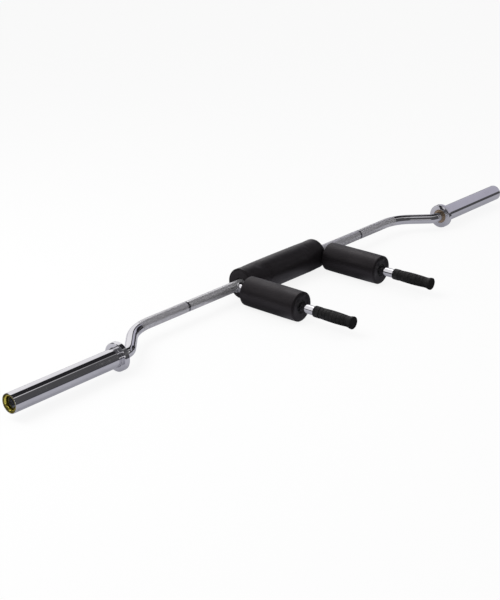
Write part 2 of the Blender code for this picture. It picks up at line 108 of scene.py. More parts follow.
def add_object(name, data):
    thing = bpy.data.objects.new(name, data)
    scene.collection.objects.link(thing)
    return thing


def make_camera():
    level = math.cos(CAMERA_ELEVATION)
    height = math.sin(CAMERA_ELEVATION)
    back = Vector((math.sin(CAMERA_AZIMUTH) * level, -math.cos(CAMERA_AZIMUTH) * level, height))
    data = bpy.data.cameras.new("portrait_camera")
    data.lens = CAMERA_LENS
    data.sensor_width = 36.0
    data.clip_start = 0.1
    data.clip_end = 60.0
    camera = add_object("portrait_camera", data)
    camera.location = CAMERA_TARGET + back * CAMERA_DISTANCE
    look = (-back).to_track_quat("-Z", "Y").to_matrix().to_4x4()
    camera.rotation_euler = (look @ Matrix.Rotation(CAMERA_ROLL, 4, "Z")).to_euler()
    scene.camera = camera
    print("camera at", [round(v, 3) for v in camera.location])


make_camera()

# %% [markdown]
# ## Small helpers for shader nodes
#
# Every finish below is a handful of nodes. These helpers keep each one to a line: one makes
# a node, some do arithmetic, `soft_step` and `fade` go softly from one value to another,
# and `blend_colours` mixes two colours. A value that is a socket gets linked, and a plain
# number or colour is set on the socket. A socket knows the node tree that it belongs to, so
# nobody has to say which tree a new node goes into.

# %% Node helpers
def feed(socket, value):
    if isinstance(value, bpy.types.NodeSocket):
        socket.id_data.links.new(value, socket)
    elif isinstance(value, tuple) and socket.type == "RGBA":
        socket.default_value = (*value, 1.0)
    else:
        socket.default_value = value


def add_node(where, kind, inputs=None, **settings):
    """A new node, in the tree that `where` is or that it is a socket of."""
    node = where.id_data.nodes.new(kind)
    for name, value in settings.items():
        setattr(node, name, value)
    for name, value in (inputs or {}).items():
        feed(node.inputs[name], value)
    return node


def reckon(operation, *values):
    where = next(value for value in values if isinstance(value, bpy.types.NodeSocket))
    return add_node(where, "ShaderNodeMath", dict(enumerate(values)), operation=operation).outputs[0]


def plus(one, other):
    return reckon("ADD", one, other)


def minus(one, other):
    return reckon("SUBTRACT", one, other)


def apart(one, other):
    return reckon("ABSOLUTE", minus(one, other))


def times(value, *others):
    """A product. Of masks, it is 1 only where all of them are."""
    for other in others:
        value = reckon("MULTIPLY", value, other)
    return value


def largest(value, *others):
    for other in others:
        value = reckon("MAXIMUM", value, other)
    return value


def soft_step(value, low, high, at_low=0.0, at_high=1.0):
    """Goes smoothly from at_low to at_high while the value goes from low to high."""
    inputs = dict(enumerate((value, low, high, at_low, at_high)))
    return add_node(value, "ShaderNodeMapRange", inputs, interpolation_type="SMOOTHSTEP").outputs["Result"]


def fade(value, low, high, level=1.0):
    """Goes smoothly from the level down to 0 while the value goes from low to high."""
    return soft_step(value, low, high, level, 0.0)


def blend_colours(share, first, second):
    return add_node(share, "ShaderNodeMix", {0: share, 6: first, 7: second}, data_type="RGBA").outputs[2]


def split(vector):
    return add_node(vector, "ShaderNodeSeparateXYZ", {"Vector": vector}).outputs

# %% [markdown]
# ## The studio
#
# Chrome has no colour of its own: what one sees is the room. In the photograph the room is
# a pale table, a white wall behind, a lavender screen to the right, and a dark space in
# front and above, broken by a narrow strip of light. Those draw the black and white bands
# along the sleeves. Smaller things draw the rest: two dark flags with a white gap between
# them for the arms, a dark skirting, a softbox over the back, a low streak for the shaft,
# and a dark room behind the camera with a white screen at its foot.
#
# Real panels could be hung round the bar, but a world that is painted by direction gives
# the same bands with nothing in the way of the camera. Each thing in the room is a mask,
# made of soft steps in the direction's X, Y and Z or in how far it leans over from the
# front. The camera itself sees plain white. Only glossy rays see the painted room, and
# soft (diffuse) rays get one plain level, so no finish is tinted by it.

# %% Paint the room that the chrome reflects
WALL_WHITE = (0.97, 0.96, 0.98)
SCREEN_LAVENDER = (0.50, 0.49, 0.57)
DARK_SPACE = (0.085, 0.084, 0.088)
DARKEST = (0.022, 0.021, 0.024)
LIGHT_STRIP = (0.95, 0.94, 0.95)
FLAG_GREY = (0.13, 0.13, 0.14)
PLAIN_LEVEL = (0.62, 0.62, 0.62)
SOFTBOX_GLOW = (2.6, 2.6, 2.6)
SOFTBOX = Vector((0.37, 0.50, 0.78)).normalized()
SOFTBOX_HALF = math.radians(9)
SOFTBOX_EDGE = 0.05
# Soft edges, each from one value of the direction's X, Y or Z to another
TABLE_TOP_Z = (-0.02, 0.0)
DARK_LEFT_X = (0.09, 0.13)     # the dark space in front and above
DARK_RIGHT_X = (0.785, 0.815)  # where the lavender screen starts
DARK_DEEPER_X = (0.69, 0.74)   # where the dark space starts to reach further back over the top
DARK_BACK = (math.radians(114), math.radians(156))  # how far it reaches, before and after that
DARK_BACK_EDGE = (-0.03, 0.03)
DARKEST_OVER = 0.15            # from the strip to where the space is darkest
FLAGS_RIGHT_X = (-0.20, 0.05)  # two dark flags stand in the left wall,
GAP_NEAR_Y = (0.48, 0.52)      # beside a white gap
GAP_FAR_Y = (0.70, 0.74)
FLAGS_SLANT = (-0.45, -0.30, -0.40, 0.05)  # over this X, their front edge goes between these Y
FLAGS_EDGE = (-0.05, 0.05)
CAMERA_SIDE_Y = (0.42, 0.52)   # the dark room behind the camera, along -Y
CAMERA_SIDE_X = (0.0, 0.3)
FOOT_Z = (0.23, 0.88)          # how high the dark stands below the screen, and behind the camera
FOOT_EDGE = (0.0, 0.04)
FOOT_END_Y = (-0.45, -0.25)    # along -Y
LOW_SCREEN_X = (-0.42, -0.32)  # a white screen that stands low, behind the camera on its left
LOW_SCREEN_Z = (0.09, 0.15)
SKIRTING_X = (-0.5, -0.35)     # a dark skirting along the foot of the wall, behind on the left
SKIRTING_Y = (0.15, 0.30)
SKIRTING_Z = (0.23, 0.27)
SCREEN_END_X = (0.845, 0.875)  # where the lavender screen stops on the right
SCREEN_END_Y = (0.15, 0.25)
STRIP_AT = math.radians(63.5)  # how far over from the front horizon the strip of light is
STRIP_EDGE = (math.radians(2.7), math.radians(4.5))
STRIP_FADE_X = (0.50, 0.65, 1.0, 0.15)  # it fades over this X between these shares,
STRIP_AGAIN_X = (0.615, 0.645)  # is back in full,
STRIP_END_X = (0.72, 0.75)      # and ends
STREAK_AT = math.radians(24)   # a low strip that draws the streak along the left of the shaft
STREAK_EDGE = (math.radians(7.7), math.radians(11))
STREAK_START_X = (0.62, 0.65)
STREAK_END_X = (0.69, 0.72)
STREAK_SHARE = 0.9


def painted_room(direction):
    """The room's colour in a direction."""
    x, y, z = split(direction)
    front = times(y, -1.0)
    over = reckon("ARCTAN2", z, front)
    above = soft_step(z, *TABLE_TOP_Z)
    room = blend_colours(soft_step(x, *DARK_RIGHT_X), WALL_WHITE, SCREEN_LAVENDER)

    gap = times(soft_step(y, *GAP_NEAR_Y), fade(y, *GAP_FAR_Y))
    behind_slant = soft_step(minus(y, soft_step(x, *FLAGS_SLANT)), *FLAGS_EDGE)
    flags = times(above, fade(x, *FLAGS_RIGHT_X), behind_slant, minus(1.0, gap))
    room = blend_colours(flags, room, FLAG_GREY)

    past_back = minus(over, soft_step(x, *DARK_DEEPER_X, *DARK_BACK))
    space = times(above, soft_step(x, *DARK_LEFT_X), fade(x, *DARK_RIGHT_X),
                  fade(past_back, *DARK_BACK_EDGE))
    behind_camera = times(soft_step(front, *CAMERA_SIDE_Y), fade(x, *CAMERA_SIDE_X))
    foot = soft_step(behind_camera, 0.0, 1.0, *FOOT_Z)
    low_screen = times(fade(x, *LOW_SCREEN_X), fade(z, *LOW_SCREEN_Z))
    horizon = times(above, soft_step(minus(foot, z), *FOOT_EDGE), soft_step(front, *FOOT_END_Y),
                    minus(1.0, low_screen))
    skirting = times(above, fade(x, *SKIRTING_X), soft_step(y, *SKIRTING_Y), fade(z, *SKIRTING_Z))
    corner = times(above, soft_step(x, *SCREEN_END_X), fade(y, *SCREEN_END_Y))
    depth = soft_step(over, STRIP_AT, STRIP_AT + DARKEST_OVER)
    dark_colour = blend_colours(depth, DARK_SPACE, DARKEST)
    room = blend_colours(largest(space, horizon, skirting, corner), room, dark_colour)

    right_part = times(soft_step(x, *STRIP_AGAIN_X), fade(x, *STRIP_END_X))
    strip = times(space, fade(apart(over, STRIP_AT), *STRIP_EDGE),
                  largest(soft_step(x, *STRIP_FADE_X), right_part))
    streak = times(soft_step(x, *STREAK_START_X), fade(x, *STREAK_END_X, STREAK_SHARE),
                   fade(apart(over, STREAK_AT), *STREAK_EDGE))
    room = blend_colours(largest(strip, streak), room, LIGHT_STRIP)

    inputs = {0: direction, 1: SOFTBOX}
    towards = add_node(direction, "ShaderNodeVectorMath", inputs, operation="DOT_PRODUCT").outputs["Value"]
    outer, inner = math.cos(SOFTBOX_HALF + SOFTBOX_EDGE), math.cos(SOFTBOX_HALF - SOFTBOX_EDGE)
    return blend_colours(soft_step(towards, outer, inner), room, SOFTBOX_GLOW)


def make_world():
    world = bpy.data.worlds.new("studio")
    scene.world = world
    world.use_nodes = True
    tree = world.node_tree
    tree.nodes.clear()
    room = painted_room(add_node(tree, "ShaderNodeTexCoord").outputs["Generated"])
    rays = add_node(tree, "ShaderNodeLightPath").outputs
    shiny = largest(rays["Is Glossy Ray"], rays["Is Transmission Ray"])
    colour = blend_colours(shiny, PLAIN_LEVEL, room)
    colour = blend_colours(rays["Is Camera Ray"], colour, (1.0, 1.0, 1.0))
    background = add_node(tree, "ShaderNodeBackground", {"Color": colour, "Strength": 1.0})
    add_node(tree, "ShaderNodeOutputWorld", {"Surface": background.outputs[0]})
    print("world painted by direction,", len(tree.nodes), "nodes")


make_world()
scene.view_settings.view_transform = "Standard"

# %% [markdown]
# ## The table and the lamps
#
# The table is pale and plain. To the camera it is nearly all white of its own, with a
# seventh of real shading left in it, so that the bar keeps a faint shadow. In the chrome it
# is a cool grey in front of the bar and brighter behind it. It ends just past the grips
# and, at the back, just past the sleeves, and the floor beyond is dark: that floor is the
# dark line along the underside of the sleeves. Beside the shoulder rolls, and below the
# right half of the shaft, what the chrome sees of the table is darkened with painted shade.
# Two large area lamps give the soft shading. They don't show in the chrome, because the
# painted room already does that job.

# %% Make the table and hang the lamps
TABLE_RADIUS = 9.0
TABLE_SIDES = 96
TABLE_DROP = 0.0004            # below the rolls, so that two surfaces never share a plane
TABLE_WHITE = (0.97, 0.97, 0.97)
TABLE_FRONT = (0.51, 0.51, 0.56)
TABLE_BACK = (0.74, 0.73, 0.77)
FLOOR_AND_PAINTED_SHADE_DARK = (0.07, 0.07, 0.08)
TABLE_SHADING = 0.14
CHROME_GLOW = 0.5              # share of glow in what the chrome sees of the table
# Soft edges on the table, in metres
FRONT_TO_BACK_Y = (0.12, 0.30)
TABLE_EDGE_Y = (-0.155, -0.095)  # the front edge; the floor beyond it is dark
TABLE_SIDE_X = (1.08, 1.10)    # the edges of its back part, left and right
BACK_PART_Y = (0.10, 0.13)
ROLL_SHADE = 0.75              # share of dark beside the shoulder rolls
ROLL_SHADE_X = (0.05, 0.11)    # from the arm's middle
ROLL_SHADE_Y = (-0.03, 0.02)
SHAFT_SHADE = 0.6              # share of dark below the right half of the shaft
SHAFT_SHADE_START_X = (0.24, 0.26)
SHAFT_SHADE_END_X = (0.54, 0.56)
SHAFT_SHADE_START_Y = (-0.01, 0.01)
SHAFT_SHADE_END_Y = (shaft_y, shaft_y + 0.02)


def table_in_chrome(place):
    """What the chrome sees at a place on the table."""
    x, y, _ = split(place)
    aside = reckon("ABSOLUTE", x)
    colour = blend_colours(soft_step(y, *FRONT_TO_BACK_Y), TABLE_FRONT, TABLE_BACK)
    off_side = times(soft_step(aside, *TABLE_SIDE_X), soft_step(y, *BACK_PART_Y))
    colour = blend_colours(largest(fade(y, *TABLE_EDGE_Y), off_side), colour, FLOOR_AND_PAINTED_SHADE_DARK)
    # Painted shade: what the chrome sees of the table is darkened beside the shoulder rolls and below the
    # right half of the shaft.
    painted_shade_beside_rolls = times(fade(apart(aside, arm_x), *ROLL_SHADE_X, ROLL_SHADE), soft_step(y, *ROLL_SHADE_Y))
    painted_shade_below_shaft = times(soft_step(x, *SHAFT_SHADE_START_X), fade(x, *SHAFT_SHADE_END_X, SHAFT_SHADE),
                        soft_step(y, *SHAFT_SHADE_START_Y), fade(y, *SHAFT_SHADE_END_Y))
    return blend_colours(largest(painted_shade_beside_rolls, painted_shade_below_shaft), colour, FLOOR_AND_PAINTED_SHADE_DARK)


def make_table():
    bpy.ops.mesh.primitive_circle_add(vertices=TABLE_SIDES, radius=TABLE_RADIUS, fill_type="NGON",
                                      location=(0.0, 0.0, -TABLE_DROP))
    table = bpy.context.active_object
    table.name = "table"
    material = bpy.data.materials.new("table_white")
    material.use_nodes = True
    tree = material.node_tree
    tree.nodes.clear()
    rays = add_node(tree, "ShaderNodeLightPath").outputs
    glossy = rays["Is Glossy Ray"]
    in_chrome = table_in_chrome(add_node(tree, "ShaderNodeNewGeometry").outputs["Position"])
    matt = add_node(tree, "ShaderNodeBsdfDiffuse", {"Color": blend_colours(glossy, TABLE_WHITE, in_chrome)})
    glow = blend_colours(glossy, (1.0, 1.0, 1.0), in_chrome)
    light = add_node(tree, "ShaderNodeEmission", {"Color": glow, "Strength": 1.0})
    to_camera = soft_step(rays["Is Camera Ray"], 0.0, 1.0, 0.0, 1.0 - TABLE_SHADING)
    share = largest(to_camera, times(glossy, CHROME_GLOW))
    surface = add_node(tree, "ShaderNodeMixShader", {0: share, 1: matt.outputs[0], 2: light.outputs[0]})
    add_node(tree, "ShaderNodeOutputMaterial", {"Surface": surface.outputs[0]})
    table.data.materials.append(material)


def hang_lamp(name, place, target, width, watts):
    data = bpy.data.lights.new(name, "AREA")
    data.shape = "SQUARE"
    data.size = width
    data.energy = watts
    lamp = add_object(name, data)
    lamp.location = place
    lamp.rotation_euler = (Vector(target) - Vector(place)).to_track_quat("-Z", "Y").to_euler()
    lamp.visible_glossy = False
    print(name, "of", watts, "W")


make_table()
hang_lamp("key_lamp", (-1.5, 1.0, 2.2), (-0.2, 0.1, 0.0), 1.8, 32.0)
hang_lamp("fill_lamp", (1.6, -1.8, 2.6), (0.0, 0.0, 0.0), 2.2, 8.0)

# %% [markdown]
# ## Turning and bending metal
#
# Almost every piece of this bar was made on a lathe or in a bender, so almost every piece
# can be made from rings of points with skin between them. `loft` puts the skin on: it is
# `add_skin` and then `finished`, which a piece with several skins calls by themselves.
# `turned` is the lathe: it takes an outline of (radius, height) points. `rounded` breaks the
# sharp corners of an outline the way a deburring tool does, because a polished edge with no
# rounding catches no light. Blender's Screw modifier would turn an outline too, but rings
# made here can also follow a bend, meet a saddle or be pressed by a thumb.

# %% Lathe helpers
SHARP_ANGLE = math.radians(50)
SUPPORT = 0.35 * MM            # an extra ring this close to a corner keeps long faces flat
ROUND_STEPS = 5


def add_skin(work, rings, looped=False):
    """Skin over rings of points. A looped row of rings closes on itself, and others get end caps."""
    rows = [[work.verts.new(point) for point in ring] for ring in rings]
    pairs = list(zip(rows, rows[1:]))
    if looped:
        pairs.append((rows[-1], rows[0]))
    for first, second in pairs:
        for i in range(len(first)):
            j = (i + 1) % len(first)
            work.faces.new((first[i], first[j], second[j], second[i]))
    if not looped:
        work.faces.new(list(reversed(rows[0])))
        work.faces.new(rows[-1])


def finished(name, work, material, crisp=True):
    """The piece that a bmesh describes, shaded smooth, with its sharp edges kept where it is crisp."""
    bmesh.ops.recalc_face_normals(work, faces=work.faces)
    mesh = bpy.data.meshes.new(name)
    work.to_mesh(mesh)
    work.free()
    mesh.shade_smooth()
    if crisp:
        mesh.set_sharp_from_angle(angle=SHARP_ANGLE)
    mesh.materials.append(material)
    return add_object(name, mesh)


def loft(name, rings, material, looped=False):
    work = bmesh.new()
    add_skin(work, rings, looped)
    return finished(name, work, material)


def turns(count):
    """The angles of evenly spaced spokes."""
    return [2 * math.pi * step / count for step in range(count)]


def circle(place, radius, sides):
    """Points of a circle round the local Z axis of a placing matrix."""
    return [place @ Vector((radius * math.cos(turn), radius * math.sin(turn), 0.0)) for turn in turns(sides)]


def rounded(corners, steps=ROUND_STEPS):
    """A closed outline of (radius, height, rounding) corners, as plain points with arcs for corners."""
    points = []
    for i, (radius, height, rounding) in enumerate(corners):
        here = Vector((radius, height))
        if rounding == 0.0:
            points.append(here)
            continue
        back = (Vector(corners[i - 1][:2]) - here).normalized()
        ahead = (Vector(corners[(i + 1) % len(corners)][:2]) - here).normalized()
        half = back.angle(ahead) / 2
        centre = here + (back + ahead).normalized() * rounding / math.sin(half)
        start = here + back * rounding / math.tan(half) - centre
        end = here + ahead * rounding / math.tan(half) - centre
        sweep = math.atan2(start.x * end.y - start.y * end.x, start.dot(end))
        for step in range(steps + 1):
            points.append(centre + Matrix.Rotation(sweep * step / steps, 2) @ start)
    return supported(points)


def supported(points):
    """Adds a point just inside both ends of every long stretch of a closed outline."""
    result = []
    for point, after in zip(points, points[1:] + points[:1]):
        result.append(point)
        step = after - point
        if step.length > 4 * SUPPORT:
            result.append(point + step.normalized() * SUPPORT)
            result.append(point + step - step.normalized() * SUPPORT)
    return result


def raised(height):
    return Matrix.Translation((0.0, 0.0, height))


def turned(name, outline, place, sides, material, looped=True):
    rings = [circle(place @ raised(height), radius, sides) for radius, height in outline]
    return loft(name, rings, material, looped)


def dress(piece, body, slot, *nodes):
    """Hands a finished piece to the frame: its body and the solids it stands for. The slot is not used."""
    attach(piece, body)
    if nodes:
        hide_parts(*nodes)
    print(" ", piece.name, len(piece.data.vertices), "points", len(piece.data.polygons), "faces")


def sleeve_place(side):
    centre = Vector((side * collar_x, sleeve_y, sleeve_z))
    return Matrix.Translation(centre) @ Matrix.Rotation(side * math.pi / 2, 4, "Y")


def arm_place(side):
    return Matrix.Translation((side * arm_x, shaft_y, arm_z)) @ Matrix.Rotation(math.pi / 2, 4, "X")


SIDES = (("left", -1), ("right", 1))

# %% [markdown]
# ## Chrome
#
# Chrome plate is a mirror with a slightly cool tint. A perfect mirror looks like a drawing,
# so three small faults go in: a cloudy change of tint, a roughness that wanders between
# handled and untouched patches, and hairlines from plates, hooks and cloths. Hairlines are
# a noise that is stretched along the piece. They bend the reflection by very little.
#
# Each finish in this notebook is a recipe: a function that is given the place on the object
# and says what goes into each input of the shader. `mixed` makes a material from a recipe,
# so that sleeves and arms can share one and differ only in its numbers.

# %% Mix the chrome
def mixed(name, recipe, *choices):
    """A material. Its recipe turns the place on the object into inputs of the Principled shader."""
    material = bpy.data.materials.new(name)
    material.use_nodes = True
    tree = material.node_tree
    place = add_node(tree, "ShaderNodeTexCoord").outputs["Object"]
    for wanted, value in recipe(place, *choices).items():
        feed(tree.nodes["Principled BSDF"].inputs[wanted], value)
    print("mixed", material.name, "with", len(tree.nodes), "nodes")
    return material


def spots(place, scale, detail=3.0, roughness=0.55):
    """A cloudy noise with a grain of one over its scale, in metres."""
    inputs = {"Vector": place, "Scale": scale, "Detail": detail, "Roughness": roughness}
    return add_node(place, "ShaderNodeTexNoise", inputs).outputs["Fac"]


def bump(height, depth, strength, **after):
    inputs = {"Height": height, "Distance": depth, "Strength": strength, **after}
    return add_node(height, "ShaderNodeBump", inputs).outputs["Normal"]


def chrome(place, bright, dull, smooth, worn, hairlines, stretch):
    """Chrome between two tints and two roughnesses, with hairlines that run along one axis."""
    cloud = soft_step(spots(place, 9.0), 0.35, 0.65)
    drawn_out = add_node(place, "ShaderNodeMapping", {"Vector": place, "Scale": stretch}).outputs["Vector"]
    return {
        "Base Color": blend_colours(cloud, bright, dull),
        "Roughness": soft_step(spots(place, 28.0, 4.0), 0.40, 0.75, smooth, worn),
        "Normal": bump(spots(drawn_out, 60.0, 2.0, 0.6), 0.05 * MM, hairlines),
        "Metallic": 1.0,
    }


ALONG_X = (1.0, 30.0, 30.0)
ALONG_Y = (30.0, 1.0, 30.0)
SLEEVE_CHROME = mixed("sleeve_chrome", chrome, (0.73, 0.725, 0.745), (0.68, 0.675, 0.70), 0.035, 0.11, 0.05,
                      ALONG_X)
TUBE_CHROME = mixed("arm_chrome", chrome, (0.75, 0.745, 0.76), (0.70, 0.695, 0.715), 0.04, 0.10, 0.04,
                    ALONG_Y)

# %% [markdown]
# ## The knurled shaft
#
# The shaft is one bar, bent twice near each end. Its straight is knurled: two wheels press
# two sets of crossing grooves into the steel, which leaves rows of small diamonds. The
# diamonds are 1.2 mm apart, so modelling each one would take a third of a million faces.
# Here the grooves are worked out from the place on the bar and go into the bump, with the
# crests bright and smooth and the grooves rougher and darkened with painted shade. The knurl
# carries on into the start of the first bend, so the distance along the bar is followed
# round that bend too. Two turned rings, where the hands line up, and the rest of the bends
# stay smooth. The floor of those rings is darkened with painted shade. The real grooves run
# round the bar without a break, so the number of starts is a whole number and the pitch follows from it.

# %% Mix the knurled finish
SHAFT_RADIUS = 15.0 * MM
BEND_CORNER = 588.5 * MM       # middle of the bar to the corner of the first bend
CRANK_RUN = 98.5 * MM          # from there to the corner of the second bend, along the bar
FIRST_BEND_RADIUS = 145.0 * MM
SECOND_BEND_RADIUS = 40.0 * MM
KNURL_STARTS = 68
KNURL_HELIX = math.radians(30)
KNURL_END = 575.5 * MM         # from the middle of the bar, along the shaft
KNURL_DEPTH = 0.30 * MM
RING_MARK_AT = 390.0 * MM
RING_MARK_HALF = 4.6 * MM
RING_MARK_DEPTH = 0.4 * MM
RING_MARK_SLOPE = 1.0 * MM
crank = Vector((CRANK_RUN, sleeve_y - shaft_y, sleeve_z - shaft_z)).normalized()
bend_start = BEND_CORNER - FIRST_BEND_RADIUS * math.tan(math.acos(crank.x) / 2)


def triangle_wave(value):
    return minus(1.0, apart(times(reckon("FRACT", value), 2.0), 1.0))


def diagonal(one, other):
    return reckon("SQRT", plus(times(one, one), times(other, other)))


def shaft_coordinates(place):
    """How far a point is along the shaft and how far round it, on the straight and in the first bend."""
    x, y, z = split(place)
    from_middle = reckon("ABSOLUTE", x)
    past = largest(minus(from_middle, bend_start), 0.0)
    inside = minus(y, shaft_y - FIRST_BEND_RADIUS)
    arc = times(reckon("ARCTAN2", past, inside), FIRST_BEND_RADIUS)
    along = plus(reckon("MINIMUM", from_middle, bend_start), arc)
    outward = minus(diagonal(past, inside), FIRST_BEND_RADIUS)
    return along, reckon("ARCTAN2", minus(z, shaft_z), outward)


def knurl(place):
    """Crossing grooves, apart from the ring marks and the smooth ends."""
    pitch = 2 * math.pi * SHAFT_RADIUS * math.cos(KNURL_HELIX) / KNURL_STARTS
    print("knurl pitch", round(pitch / MM, 3), "mm")
    along, turn = shaft_coordinates(place)
    starts = times(turn, KNURL_STARTS / (2 * math.pi))
    run = times(along, math.sin(KNURL_HELIX) / pitch)
    diamond = reckon("MINIMUM", triangle_wave(plus(starts, run)), triangle_wave(minus(starts, run)))
    uneven = soft_step(spots(place, 620.0, 2.0), 0.30, 0.70, -0.14, 0.14)
    crest = soft_step(plus(diamond, uneven), 0.02, 0.42)

    from_mark = apart(along, RING_MARK_AT)
    rough = times(fade(along, KNURL_END - 0.5 * MM, KNURL_END + 0.5 * MM),
                  soft_step(from_mark, RING_MARK_HALF - 0.3 * MM, RING_MARK_HALF + 0.1 * MM))
    wear = soft_step(spots(place, 14.0, 4.0), 0.35, 0.7)
    # Painted shade: the grooves of the knurl, which are only in the bump, get a dark colour and the crests a
    # bright one.
    knurl_tint = blend_colours(crest, (0.30, 0.295, 0.31), (0.80, 0.79, 0.81))
    smooth_tint = blend_colours(wear, (0.74, 0.735, 0.755), (0.69, 0.685, 0.71))
    mark_floor = RING_MARK_HALF - RING_MARK_SLOPE
    # Painted shade: the floor of each ring mark is darkened towards near black.
    ring_floor_painted_shade = fade(from_mark, mark_floor - 0.5 * MM, mark_floor, 0.85)
    smooth_tint = blend_colours(ring_floor_painted_shade, smooth_tint, (0.10, 0.10, 0.105))
    knurl_gloss = plus(soft_step(crest, 0.0, 1.0, 0.26, 0.15), times(wear, 0.06))
    smooth_gloss = soft_step(spots(place, 30.0, 4.0), 0.40, 0.75, 0.04, 0.10)
    return {
        "Base Color": blend_colours(rough, smooth_tint, knurl_tint),
        "Roughness": plus(smooth_gloss, times(minus(knurl_gloss, smooth_gloss), rough)),
        "Normal": bump(times(crest, rough), KNURL_DEPTH, 0.28),
        "Metallic": soft_step(rough, 0.0, 1.0, 1.0, 0.74),
    }


KNURLED_CHROME = mixed("knurled_chrome", knurl)

# %% [markdown]
# Next comes the bar itself. It is a row of rings that travels along the bar's middle line:
# straight, round the first bend, along the crank, round the second bend, and out through
# the sleeve as a thinner journal with a groove for the circlip. Only one half is worked
# out, and the other is its mirror image. The journal isn't plated: it is ground steel under
# an oily film, with turning marks on its end, so its faces get a second material. That
# material is darkened with painted shade, because the journal lies deep inside the sleeve.

# %% Bend the shaft
BEND_STEPS = 26
SHAFT_SIDES = 72
JOURNAL_RADIUS = 12.5 * MM
JOURNAL_START = 0.2 * MM       # outside the collar's inner face
JOURNAL_INSET = 6.5 * MM       # the shaft's end, inside the end of the sleeve
BROKEN_EDGE = 0.15 * MM
GROOVE_INSET = 1.8 * MM
GROOVE_WIDTH = 1.8 * MM
GROOVE_DEPTH = 1.0 * MM
CENTRE_HOLE = 1.75 * MM
CENTRE_HOLE_DEPTH = 2.5 * MM
TURNING_FEED = 0.35 * MM       # from one turning mark to the next
shaft_end = sleeve_end - JOURNAL_INSET
groove_top = shaft_end - GROOVE_INSET
groove_foot = groove_top - GROOVE_WIDTH


def journal_steel_in_painted_shade(place):
    """Bare ground steel under an oily film, with turning marks round the journal's axis, darkened with
    painted shade because it lies deep in the sleeve.
    """
    x, y, z = split(place)
    reach = plus(diagonal(minus(z, sleeve_z), minus(y, sleeve_y)), x)
    marks = triangle_wave(times(reach, 1.0 / TURNING_FEED))
    oil_and_painted_shade = soft_step(spots(place, 260.0), 0.38, 0.66)
    # Painted shade: both colours are far darker than ground steel, in patches that also change the
    # roughness.
    return {
        "Base Color": blend_colours(oil_and_painted_shade, (0.20, 0.21, 0.24), (0.030, 0.031, 0.036)),
        "Roughness": soft_step(oil_and_painted_shade, 0.0, 1.0, 0.26, 0.46),
        "Normal": bump(marks, 0.04 * MM, 0.5),
        "Metallic": 1.0,
    }


def straight(along):
    """(point, direction, radius) along the straight of the shaft, with the ring mark turned in."""
    mark_in = RING_MARK_AT - RING_MARK_HALF
    mark_out = RING_MARK_AT + RING_MARK_HALF
    edge = SHAFT_RADIUS - 0.05 * MM
    low = SHAFT_RADIUS - RING_MARK_DEPTH
    radii = [
        (0.0, SHAFT_RADIUS), (mark_in - 0.3 * MM, SHAFT_RADIUS), (mark_in, edge),
        (mark_in + RING_MARK_SLOPE, low), (mark_out - RING_MARK_SLOPE, low),
        (mark_out, edge), (mark_out + 0.3 * MM, SHAFT_RADIUS),
    ]
    return [(Vector((x, shaft_y, shaft_z)), along, radius) for x, radius in radii]


def bend(corner, arriving, leaving, radius):
    """The same round a bend."""
    axis = arriving.cross(leaving).normalized()
    sweep = arriving.angle(leaving)
    start = corner - arriving * radius * math.tan(sweep / 2)
    centre = start + axis.cross(arriving) * radius
    stations = []
    for step in range(BEND_STEPS + 1):
        turn = Matrix.Rotation(sweep * step / BEND_STEPS, 3, axis)
        stations.append((centre + turn @ (start - centre), turn @ arriving, SHAFT_RADIUS))
    return stations


def journal(along):
    """The same along the journal, with its groove and the centre hole in its end."""
    edge = BROKEN_EDGE
    bottom = JOURNAL_RADIUS - GROOVE_DEPTH
    radii = [
        (JOURNAL_START - 0.6 * MM, SHAFT_RADIUS), (JOURNAL_START - edge, SHAFT_RADIUS - edge / 3),
        (JOURNAL_START, SHAFT_RADIUS - edge), (JOURNAL_START, JOURNAL_RADIUS),
        (JOURNAL_START + edge, JOURNAL_RADIUS), (groove_foot - edge, JOURNAL_RADIUS),
        (groove_foot, JOURNAL_RADIUS - edge), (groove_foot, bottom),
        (groove_top, bottom), (groove_top, JOURNAL_RADIUS - edge), (groove_top + edge, JOURNAL_RADIUS),
        (shaft_end - 1.0 * MM, JOURNAL_RADIUS), (shaft_end - 0.7 * MM, JOURNAL_RADIUS - edge),
        (shaft_end, JOURNAL_RADIUS - 0.9 * MM), (shaft_end, CENTRE_HOLE + 0.3 * MM),
        (shaft_end - 0.2 * MM, CENTRE_HOLE), (shaft_end - CENTRE_HOLE_DEPTH, 0.1 * MM),
    ]
    return [(Vector((collar_x + out, sleeve_y, sleeve_z)), along, radius) for out, radius in radii]


def make_shaft():
    along = Vector((1.0, 0.0, 0.0))
    first = Vector((BEND_CORNER, shaft_y, shaft_z))
    second = Vector((BEND_CORNER + CRANK_RUN, sleeve_y, sleeve_z))
    right = straight(along) + bend(first, along, crank, FIRST_BEND_RADIUS)
    right += bend(second, crank, along, SECOND_BEND_RADIUS) + journal(along)
    left = []
    for point, direction, radius in reversed(right[1:]):
        mirrored = Vector((direction.x, -direction.y, -direction.z))
        left.append((Vector((-point.x, point.y, point.z)), mirrored, radius))
    rings = []
    for point, direction, radius in left + right:
        across = direction.cross(Vector((0.0, 0.0, 1.0))).normalized()
        up = across.cross(direction)
        heading = Matrix((across, up, direction)).transposed().to_4x4()
        rings.append(circle(Matrix.Translation(point) @ heading, radius, SHAFT_SIDES))
    shaft = loft("bent_knurled_shaft", rings, KNURLED_CHROME)
    shaft.data.materials.append(mixed("oiled_journal_in_painted_shade", journal_steel_in_painted_shade))
    for face in shaft.data.polygons:
        if abs(face.center.x) > collar_x + JOURNAL_START + 0.1 * MM:
            face.material_index = 1
    dress(shaft, "yoke", "knurled_shaft", "shaft")


make_shaft()

# %% [markdown]
# ## The arms and their welds
#
# Each arm is a chromed 25.4 mm tube that is coped to the shaft: its end is cut to the
# shaft's curve, so that it fits like a saddle. Every point of the last ring is simply given
# the height where the shaft's surface is. Round the joint runs a hand-made weld bead. A
# weld is laid in small overlapping puddles, and plating keeps them, so the bead is a ring
# of changing thickness with a scalloped back. In the photograph those ripples are the
# bright specks beside the shoulder roll.

